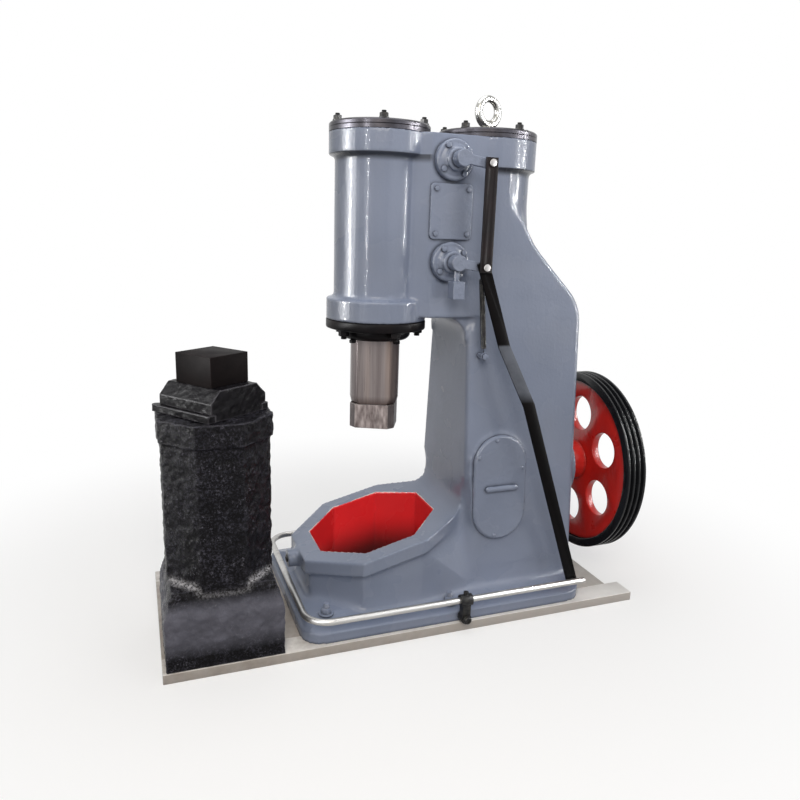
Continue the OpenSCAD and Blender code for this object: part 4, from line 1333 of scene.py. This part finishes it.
@dataclass
class CastFrame:
    """The frame casting with its rounded cast edges, and the bolts that hold its foot."""

    edges: ColumnEdges = ColumnEdges()
    voxel: float = 4.0
    rounds: int = 3
    fill_rounds: int = 90
    kept_faces: float = 0.34
    soft_low: float = 330.0
    soft_high: float = 520.0
    body_share: float = 0.35
    crisp_share: float = 0.08
    crisp_from: float = 1300.0
    ram_reach: float = 162.0
    ram_from: float = 880.0
    well_half: float = 196.0
    well_top: float = 330.0
    foot_bolts: tuple[tuple[float, float], ...] = ((-200.0, 208.0), (173.0, 240.0))
    foot_half: float = 284.0
    foot_front: float = -280.0
    foot_edge: float = 58.0
    foot_rise: float = 20.0
    foot_margin: float = 80.0
    boss_end: tuple[float, float, float] = (-270.0, 0.0, 161.0)
    bolt: Fastener = Fastener(Head.NUT_ON_STUD, 25, 15, washer=21, stud=14)
    boss_screw: Fastener = Fastener(Head.SOCKET_SCREW, 24, 4)

    def build(self) -> None:
        """Makes the casting's skin and bolts it down."""
        skin = relaxed(remeshed("frame_casting", self.voxel), self.rounds)
        skin.points = self.edges.squared(skin.points)
        skin = filled(skin, self.fill_rounds, self.hollow_share(skin.points))
        mesh = evaluated(skin.skin("cast_frame"), "DECIMATE", ratio=self.kept_faces)
        mesh.shade_smooth()
        mesh.name = "cast_frame"
        show("cast_frame", mesh, CASTING_ENAMEL, Body.FRAME, "frame_casting")
        places = [(x, s * y, self.foot_top(x, y)) for x, y in self.foot_bolts for s in (-1, 1)]
        fasten("foot_bolts", self.bolt, places, (0, 0, 1), GREY_ENAMEL)
        fasten("front_boss_screw", self.boss_screw, [self.boss_end], (-1, 0, 0), FORGED_BLACK)

    def hollow_share(self, points: np.ndarray) -> np.ndarray:
        """How much each hollow corner is filled: fully at the foot, less higher up, hardly at the flanges.

        Args:
            points: points of the skin.

        Returns:
            One share from 0 to 1 for each point.
        """
        height = points[:, 2]
        low = np.clip((self.soft_high - height) / (self.soft_high - self.soft_low), 0, 1)
        share = self.body_share + (1 - self.body_share) * low
        round_ram = (np.hypot(points[:, 0], points[:, 1]) < self.ram_reach) & (height > self.ram_from)
        share[round_ram | (height > self.crisp_from)] = self.crisp_share
        share[(octagon_reach(points) < self.well_half) & (height < self.well_top)] = 0.0
        return share

    def foot_top(self, x: float, y: float) -> float:
        """Height of the foot's sloping edge, or of its flat top further in."""
        inset = min(self.foot_half - abs(y), x - self.foot_front, self.foot_margin)
        return self.foot_edge + self.foot_rise * inset / self.foot_margin


@dataclass
class TopCovers:
    """Both cylinder covers with their studs, and the lifting eye."""

    nut: Fastener = Fastener(Head.NUT_ON_STUD, 20.5, 11, washer=13.5, stud=5)
    ram_start: float = 184.0
    pump_start: float = 215.0
    count: int = 5
    inset: float = 17.0
    bevel: float = 5.0
    joint: float = 1.2
    joint_share: float = 0.45
    eye_wire: float = 10.0
    eye_swell: float = 1.5
    eye_turn_deg: float = 13.0
    collar_high: float = 18.0
    collar: float = 24.0

    def build(self) -> None:
        """Turns the covers, puts a ring of nuts on each, and stands the eye on the rear one."""
        for node, start in (("ram_cylinder_cover", self.ram_start), ("pump_cylinder_cover", self.pump_start)):
            low, high = node_box(node)
            middle = (low + high) / 2
            radius = (high[0] - low[0]) / 2
            self.cover(node, radius, (middle[0], middle[1], low[2]), high[2] - low[2])
            ring = ring_places((middle[0], middle[1], high[2]), radius - self.inset, self.count, start)
            fasten(node + "_nuts", self.nut, ring, (0, 0, 1), FORGED_BLACK)
        self.eye()

    def cover(self, node: str, radius: float, foot: Point, height: float) -> None:
        """Turned cover: a narrow bevel, an upright edge with a fine joint line, and a flat underside.

        Args:
            node: the solid that it stands for.
            radius: its radius.
            foot: middle of its underside.
            height: its height.
        """
        split = self.joint_share * height
        ease = 0.4 * self.bevel
        rows = [(0, height), (radius - self.bevel, height), (radius - ease, height - ease),
                (radius, height - self.bevel), (radius, split + self.joint), (radius - self.joint, split),
                (radius, split - self.joint), (radius, 0), (0, 0)]
        mesh = Surface.turned(rows, 128).placed(foot).mesh(node + "_turned", 25.0)
        show(node + "_turned", mesh, COVER_STEEL, Body.FRAME, node)

    def eye(self) -> None:
        """Forged ring on its collar, with a section that thickens towards the foot."""
        low, high = node_box("lifting_eye")
        middle = (low + high) / 2
        outer = (high[2] - low[2] - self.collar_high + self.eye_wire / 2 - 1) / 2
        turn = np.linspace(0, 2 * np.pi, 49)
        wire = self.eye_wire + self.eye_swell * (1 - np.sin(turn))
        reach = outer - self.eye_wire
        section = circle_section(1.0, 20)
        ring = reach + wire[:, None] * section[:, 0]
        points = np.stack([ring * np.cos(turn)[:, None], wire[:, None] * section[:, 1],
                           ring * np.sin(turn)[:, None]], axis=-1)
        loop = Surface.grid(points).placed((middle[0], middle[1], high[2] - outer),
                                           turn_deg=self.eye_turn_deg)
        rise = self.collar_high
        foot = Surface.turned([(0, rise), (0.5 * self.collar, rise), (0.62 * self.collar, 0.6 * rise),
                               (self.collar, 0.5 * rise), (self.collar, 0), (0, 0)], 40)
        both = Surface.joined([loop, foot.placed((middle[0], middle[1], low[2]))])
        show("lifting_eye_forged", both.mesh("lifting_eye_forged"), PLATED_STEEL, Body.FRAME, "lifting_eye")


@dataclass
class Gland:
    """Gland plate and nose under the ram cylinder."""

    nut: Fastener = Fastener(Head.NUT_ON_STUD, 27, 17, stud=8)
    nut_circle: float = 126.0
    nut_start: float = -10.0
    count: int = 5
    nose_bolt: Fastener = Fastener(Head.HEX_BOLT, 17, 9)
    nose_inset: float = 13.0
    nose_count: int = 4
    nose_start: float = 25.0

    def build(self) -> None:
        """Dresses both rings, hangs the nuts under the plate and bolts under the nose."""
        dress("gland_plate", GLAND_BLACK, 3.5)
        dress("gland_nose", GLAND_BLACK, 4.0)
        under = node_box("gland_plate")[0][2]
        places = ring_places((0, 0, under), self.nut_circle, self.count, self.nut_start)
        fasten("gland_plate_nuts", self.nut, places, (0, 0, -1), GLAND_BLACK)
        low, high = node_box("gland_nose")
        places = ring_places((0, 0, low[2]), (high[0] - low[0]) / 2 - self.nose_inset, self.nose_count,
                             self.nose_start)
        fasten("gland_nose_bolts", self.nose_bolt, places, (0, 0, -1), GLAND_BLACK)


@dataclass
class RamAndDie:
    """The ram and its upper die."""

    die_width: float = 134.0
    die_depth: float = 112.0
    die_chamfer: float = 17.5
    die_turn_deg: float = -26.0
    die_ease: float = 1.5
    front_limit: float = 0.9

    def build(self) -> None:
        """Dresses the ram and makes its die."""
        dress("ram", RAM_STEEL, 1.5)
        low, high = node_box("upper_die")
        wide, deep, cut = self.die_width / 2, self.die_depth / 2, self.die_chamfer
        quarter = np.array([(wide - cut, -deep), (wide, cut - deep), (wide, deep - cut), (wide - cut, deep)])
        outline = np.concatenate([quarter, -quarter])
        levels = ((0.0, high[2]), (1 - self.die_ease / deep, high[2]), (1.0, high[2] - self.die_ease),
                  (1.0, low[2] + self.die_ease), (1 - self.die_ease / deep, low[2]), (0.0, low[2]))
        rings = [np.column_stack([s * outline, np.full(len(outline), z)]) for s, z in levels]
        die = Surface.grid(np.stack(rings)).placed((0, 0, 0), turn_deg=self.die_turn_deg)
        mesh = die.mesh("upper_die_block", 20.0)
        self.mark_sides(mesh)
        show("upper_die_block", mesh, FORGE_WORN_STEEL, Body.RAM, "upper_die")

    def mark_sides(self, mesh: bpy.types.Mesh) -> None:
        """Marks the die's ends and cut corners, which keep their black scale: faces turned off its front.

        Args:
            mesh: mesh of the die, in place.
        """
        normal = np.empty(3 * len(mesh.polygons), np.float32)
        mesh.polygons.foreach_get("normal", normal)
        turn = math.radians(self.die_turn_deg)
        ahead = normal.reshape(-1, 3) @ np.array([math.sin(turn), -math.cos(turn), 0.0])
        mark = mesh.attributes.new("scaled", "FLOAT", "FACE")
        mark.data.foreach_set("value", (np.abs(ahead) < self.front_limit).astype(np.float32))


@dataclass
class ValveGear:
    """Valve covers, levers, links and the chest cover on the near side."""

    cover_bolt: Fastener = Fastener(Head.HEX_BOLT, 14, 8)
    plate_screw: Fastener = Fastener(Head.HEX_BOLT, 12, 6)
    bolt_circle: float = 44.0
    bolt_angles: tuple[float, ...] = (35.0, 125.0, 215.0, 305.0)
    plate_inset: float = 15.0
    boss_length: float = 20.0

    def build(self) -> None:
        """Casts and dresses the gear and adds its bolts."""
        for node in ("upper_valve_cover", "lower_valve_cover"):
            cast_piece(node + "_skin", node)
            low, high = node_box(node)
            middle = (low + high) / 2
            places = [(middle[0] + self.bolt_circle * math.cos(a), low[1] + self.boss_length,
                       middle[2] + self.bolt_circle * math.sin(a)) for a in np.radians(self.bolt_angles)]
            fasten(node + "_bolts", self.cover_bolt, places, (0, -1, 0), GREY_ENAMEL)
        cast_piece("chest_plate", "chest_cover", rounds=6)
        low, high = node_box("chest_cover")
        places = [(x, low[1], z) for x in (low[0] + self.plate_inset, high[0] - self.plate_inset)
                  for z in (low[2] + self.plate_inset, high[2] - self.plate_inset)]
        fasten("chest_cover_screws", self.plate_screw, places, (0, -1, 0), GREY_ENAMEL)
        cast_piece("upper_lever_skin", "upper_valve_lever", 1.3, body=Body.UPPER_LEVER)
        cast_piece("lower_lever_skin", "lower_valve_lever", 1.3, body=Body.LOWER_LEVER)
        cast_piece("square_knob_skin", "square_knob", 1.3, 2, body=Body.LOWER_LEVER)
        for node in ("upper_link_pin", "lower_link_pin"):
            dress(node, PIN_STEEL, 0.8)
        dress("valve_link", BAR_BLACK, 0.8)
        dress("pedal_link", BENT_BAR_BLACK, 0.8)


@dataclass
class ReturnSpring:
    """Coil spring from its anchor on the wall up to the lower lever."""

    coil: float = 7.0
    wire: float = 1.3
    lead: float = 3.4
    shank: float = 16.0
    foot: tuple[float, float] = (273.0, -177.0)
    top: tuple[float, float] = (238.0, -205.0)
    bend: float = 40.0
    nut: Fastener = Fastener(Head.HEX_BOLT, 17, 7, washer=12)

    def build(self) -> None:
        """Winds the spring along the line of its solid: a straight shank, the helix and a shank again."""
        cast_piece("spring_post", "spring_anchor", 1.2, 2)
        low, high = node_box("spring_anchor")
        face = ((low[0] + high[0]) / 2, low[1], (low[2] + high[2]) / 2)
        fasten("spring_post_bolt", self.nut, [face], (0, -1, 0), GREY_ENAMEL)
        low, high = node_box("return_spring")
        foot = np.array([*self.foot, low[2]])
        top = np.array([*self.top, high[2]])
        length = float(np.linalg.norm(top - foot))
        turns = (length - 2 * self.shank) / self.lead
        angle = np.linspace(0, 2 * np.pi * turns, int(turns * 14))
        rise = np.linspace(self.shank, length - self.shank, len(angle))
        reach = self.coil * np.clip(np.minimum(angle, angle[-1] - angle) / (2 * np.pi), 0, 1)
        helix = np.stack([reach * np.cos(angle), reach * np.sin(angle), rise], axis=-1)
        start = np.array([[0, 0, 0.0], [0, 0, self.shank / 2]])
        path = np.concatenate([start, helix, [0, 0, length] - start[::-1]])
        wound = Surface.swept(path, circle_section(self.wire, 6), (0.03, 0.02, 1.0))
        mesh = wound.placed(foot, top - foot).mesh("return_spring_coil")
        piece = show("return_spring_coil", mesh, FORGED_BLACK, None, "return_spring")
        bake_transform(piece)


@dataclass
class Crankcase:
    """Oval cover with its grip and edge screws, and the bearing behind the column."""

    screw: Fastener = Fastener(Head.DOME_SCREW, 13, 4.5)
    screws: tuple[tuple[float, float, float], ...] = ((334.0, -181.5, 545.0), (331.0, -203.5, 249.0),
                                                      (274.0, -186.5, 497.0), (424.0, -188.5, 455.0))
    lean: float = 0.0714

    def build(self) -> None:
        """Casts the covers and adds the screws, square to the leaning wall."""
        cast_piece("oval_cover", "crankcase_cover", 2.2)
        cast_piece("oval_cover_grip", "crankcase_handle", 1.2, 2, 0.5)
        cast_piece("bearing_housing_skin", "bearing_housing", 2.4)
        fasten("oval_cover_screws", self.screw, self.screws, (0, -1, self.lean), GREY_ENAMEL)


@dataclass
class Flywheel:
    """Red web, black grooved rim and shaft."""

    def build(self) -> None:
        """Dresses the wheel."""
        dress("flywheel_web", RED_ENAMEL, 2.5)
        dress("flywheel_rim", RIM_BLACK, 1.5)
        dress("crankshaft", SATIN_STEEL, 1.5)


@dataclass
class Treadle:
    """Bent treadle bar on its two clamps, with the pivot bolts."""

    set_screw: Fastener = Fastener(Head.HEX_BOLT, 13, 9, washer=8)
    pivot_screw: Fastener = Fastener(Head.SOCKET_SCREW, 22, 5)
    screw_sunk: float = 1.5

    def build(self) -> None:
        """Dresses the treadle and puts a set screw and a pivot screw at each clamp."""
        dress("treadle_bar", SATIN_STEEL, 1.0)
        dress("pedal_pin", FORGED_BLACK, 0.8)
        for side, way in (("near", -1), ("far", 1)):
            clamp, pivot = "treadle_clamp_" + side, "treadle_pivot_" + side
            dress(clamp, FORGED_BLACK, 1.2)
            dress(pivot, FORGED_BLACK, 1.0)
            low, high = node_box(clamp)
            top = ((low[0] + high[0]) / 2, (low[1] + high[1]) / 2, high[2] - self.screw_sunk)
            fasten(clamp + "_screw", self.set_screw, [top], (0, 0, 1), FORGED_BLACK, Body.TREADLE)
            low, high = node_box(pivot)
            end = ((low[0] + high[0]) / 2, low[1] if way < 0 else high[1], (low[2] + high[2]) / 2)
            fasten(pivot + "_screw", self.pivot_screw, [end], (0, way, 0), FORGED_BLACK)


@dataclass
class Anvil:
    """Rough anvil block with its sow block, keys and die."""

    voxel: float = 3.6
    sow_voxel: float = 1.8
    bead_low: float = 120.0
    bead_high: float = 330.0
    bead_rounds: int = 5
    bead_height: float = 5.0
    bead_hollow: float = 0.35
    bead_hold: float = 0.9
    bead_gain: float = 1.6
    bead_base: float = 0.8
    crest_base: float = 0.35
    still: float = 6.0
    sow_rough: float = 0.3
    sand: tuple[Layer, ...] = ((1.4, 38.0, 1), (1.5, 17.0, 2), (1.9, 11.0, 3))
    sunk: float = 1.4
    crests: tuple[Layer, ...] = ((1.0, 11.0, 3), (0.7, 60.0, 8))
    bead_lumps: tuple[Layer, ...] = ((0.7, 13.0, 4),)

    def build(self) -> None:
        """Roughens the castings and dresses the die."""
        self.block()
        for node in ("sow_block", "sow_key_left", "sow_key_right"):
            skin = relaxed(remeshed(node, self.sow_voxel), 1)
            skin = skin.swollen(self.roughness(skin.points, self.sow_rough))
            show(node + "_casting", skin.skin(node), SOW_BLACK, Body.FRAME, node)
        dress("lower_die", DIE_BLACK, 1.2)

    def roughness(self, points: np.ndarray, size: float) -> np.ndarray:
        """Height of the sand skin: three sizes of lump, kept mostly inside the solid."""
        return size * (lumps(points, self.sand) - self.sunk)

    def block(self) -> None:
        """Roughens the block, with a weld bead along the hollow line where the column meets the base."""
        skin = relaxed(remeshed("anvil_block", self.voxel), 3)
        near = Neighbours.of(skin)
        hollow = ((near.mean(skin.points) - skin.points) * skin.outward()).sum(axis=1, keepdims=True)
        bead = np.clip(hollow / self.bead_hollow, 0, 1)
        height = skin.points[:, 2:]
        bead = bead * (height > self.bead_low) * (height < self.bead_high)
        for _ in range(self.bead_rounds):
            bead = np.maximum(bead * self.bead_hold, near.mean(bead))
        bead = np.clip(self.bead_gain * bead[:, 0], 0, 1)
        low = node_box("anvil_block")[0][2]
        still = np.clip((skin.points[:, 2] - low) / self.still, 0, 1)
        # Mark for where the painted glints, which are painted highlights, may show.
        crest = np.clip(self.crest_base + lumps(skin.points, self.crests), 0, 1)
        beads = bead * (self.bead_base + lumps(skin.points, self.bead_lumps)) * self.bead_height
        mesh = skin.swollen(still * self.roughness(skin.points, 1.0) + beads).skin("anvil_casting")
        for name, values in (("bead", bead), ("crest", crest)):
            mark = mesh.attributes.new(name, "FLOAT", "POINT")
            mark.data.foreach_set("value", values.astype(np.float32))
        show("anvil_casting", mesh, CASTING_BLACK, Body.FRAME, "anvil_block")


# Stage


@dataclass(frozen=True)
class SoftBox:
    """One rectangular lamp, in metres and watts, that looks at the machine."""

    name: str
    place: tuple[float, float, float]
    width: float
    height: float
    watts: float
    colour: str = WHITE
    only_gloss: bool = False

    def hang(self, target: tuple[float, float, float]) -> None:
        """Makes the lamp and turns it to its target.

        Args:
            target: point that it looks at, in metres.
        """
        data = bpy.data.lights.new(self.name, "AREA")
        data.shape = "RECTANGLE"
        data.size = self.width
        data.size_y = self.height
        data.energy = self.watts
        data.color = linear(self.colour)[:3]
        lamp = put(self.name, data)
        lamp.visible_diffuse = not self.only_gloss
        lamp.location = self.place
        lamp.rotation_euler = (Vector(target) - Vector(self.place)).to_track_quat("-Z", "Y").to_euler()


@dataclass
class Studio:
    """Camera at the photograph's view, pale floor, soft lamps and pale background."""

    place: tuple[float, float, float] = (-666.4, -1980.2, 1153.9)
    yaw: float = 20.79
    pitch: float = 13.56
    roll: float = 1.8
    focal_px: float = 704.0
    image_px: float = 800.0
    sensor: float = 36.0
    floor_half: float = 12000.0
    clear_from: float = 700.0
    clear_to: float = 1900.0
    near_white: float = 0.5
    floor_seen: str = "#F4F4F4"
    floor_bounce: str = "#8C8A88"
    sky: float = 0.29
    target: tuple[float, float, float] = (0.1, 0.0, 0.7)
    lamps: tuple[SoftBox, ...] = (
        SoftBox("key", (-1.0, -3.2, 2.9), 2.0, 2.0, 88.0, "#FFF6EA"),
        SoftBox("fill", (1.6, -3.2, 1.8), 2.0, 2.0, 16.0, "#F0F4FF"),
        SoftBox("left_strip", (-2.6, 0.15, 1.5), 0.06, 2.2, 120.0, only_gloss=True),
        SoftBox("left_glow", (-2.6, 0.15, 1.5), 1.5, 2.2, 110.0, only_gloss=True),
        SoftBox("front_strip", (-2.3, -2.2, 1.7), 0.05, 2.2, 42.0, only_gloss=True),
        SoftBox("right_strip", (2.46, -1.71, 1.7), 0.05, 2.2, 64.0, only_gloss=True),
        SoftBox("rear_strip", (2.75, -0.95, 1.6), 0.06, 2.2, 84.0, only_gloss=True),
        SoftBox("top", (0.0, 0.0, 3.6), 2.4, 2.4, 46.0))

    def build(self) -> None:
        """Sets up the whole studio."""
        self.camera()
        self.floor()
        self.world()
        for lamp in self.lamps:
            lamp.hang(self.target)
        bpy.context.scene.view_settings.view_transform = "Standard"

    def camera(self) -> None:
        """Makes the camera from its place, its heading from +Y towards +X, its pitch down and its roll."""
        yaw, pitch, roll = (math.radians(v) for v in (self.yaw, self.pitch, self.roll))
        ahead = Vector((math.sin(yaw) * math.cos(pitch), math.cos(yaw) * math.cos(pitch), -math.sin(pitch)))
        level = Vector((math.cos(yaw), -math.sin(yaw), 0.0))
        above = level.cross(ahead)
        right = math.cos(roll) * level + math.sin(roll) * above
        up = math.cos(roll) * above - math.sin(roll) * level
        data = bpy.data.cameras.new("camera")
        data.sensor_width = self.sensor
        data.lens = self.focal_px * self.sensor / self.image_px
        data.clip_start = 0.05
        data.clip_end = 100.0
        camera = put("camera", data)
        turn = Matrix((right, up, -ahead)).transposed().to_4x4()
        camera.matrix_world = Matrix.Translation(Vector(self.place) * MM) @ turn
        bpy.context.scene.camera = camera

    def floor(self) -> None:
        """Pale floor that keeps the shadow near the machine and runs out into the background."""
        half = self.floor_half * MM
        mesh = bpy.data.meshes.new("floor")
        mesh.from_pydata([(-half, -half, 0), (half, -half, 0), (half, half, 0), (-half, half, 0)], [],
                         [(0, 1, 2, 3)])
        floor = put("floor", mesh)
        made = bpy.data.materials.new("pale_floor")
        tree = fresh_tree(made)
        place = add(tree, "TexCoord").outputs["Object"]
        away = add(tree, "VectorMath", (place,), operation="LENGTH")
        far = add(tree, "MapRange", (away, self.clear_from * MM, self.clear_to * MM), **SMOOTH)
        far = add(tree, "MapRange", (far, 0.0, 1.0, self.near_white))
        seen = self.seen(tree)
        share = add(tree, "Math", (far, seen), operation="MULTIPLY")
        tone = add(tree, "Mix", {0: seen, 6: self.floor_bounce, 7: self.floor_seen}, **COLOUR)
        matt = add(tree, "BsdfDiffuse", {"Color": tone})
        white = add(tree, "Emission", {"Color": WHITE, "Strength": 1.0})
        both = add(tree, "MixShader", (share, matt, white))
        add(tree, "OutputMaterial", {"Surface": both})
        mesh.materials.append(made)

    @staticmethod
    def seen(tree: Tree) -> Node:
        """Is 1 for rays that show the background: from the camera, or off gloss and glass.

        Args:
            tree: node tree to add to.

        Returns:
            The node that says so.
        """
        path = add(tree, "LightPath").outputs
        seen = path["Is Camera Ray"]
        for ray in ("Is Glossy Ray", "Is Transmission Ray"):
            seen = add(tree, "Math", (seen, path[ray]), operation="MAXIMUM")
        return seen

    def world(self) -> None:
        """White background, with a dimmer sky as light."""
        world = bpy.data.worlds.new("studio")
        bpy.context.scene.world = world
        tree = fresh_tree(world)
        light, back = (add(tree, "Background", {"Color": WHITE, "Strength": s}) for s in (self.sky, 1.0))
        both = add(tree, "MixShader", (self.seen(tree), light, back))
        add(tree, "OutputWorld", {"Surface": both})


def main() -> None:
    """Builds the machine piece by piece, then the studio."""
    logging.basicConfig(level=logging.INFO, format="%(name)s: %(message)s")
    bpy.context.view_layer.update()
    Studio().build()
    for part in (Bed, CastFrame, TopCovers, Gland, RamAndDie, ValveGear, ReturnSpring, Crankcase, Flywheel,
                 Treadle, Anvil):
        part().build()
        LOG.info("%s built", part.__name__)


if __name__ == "__main__":
    main()
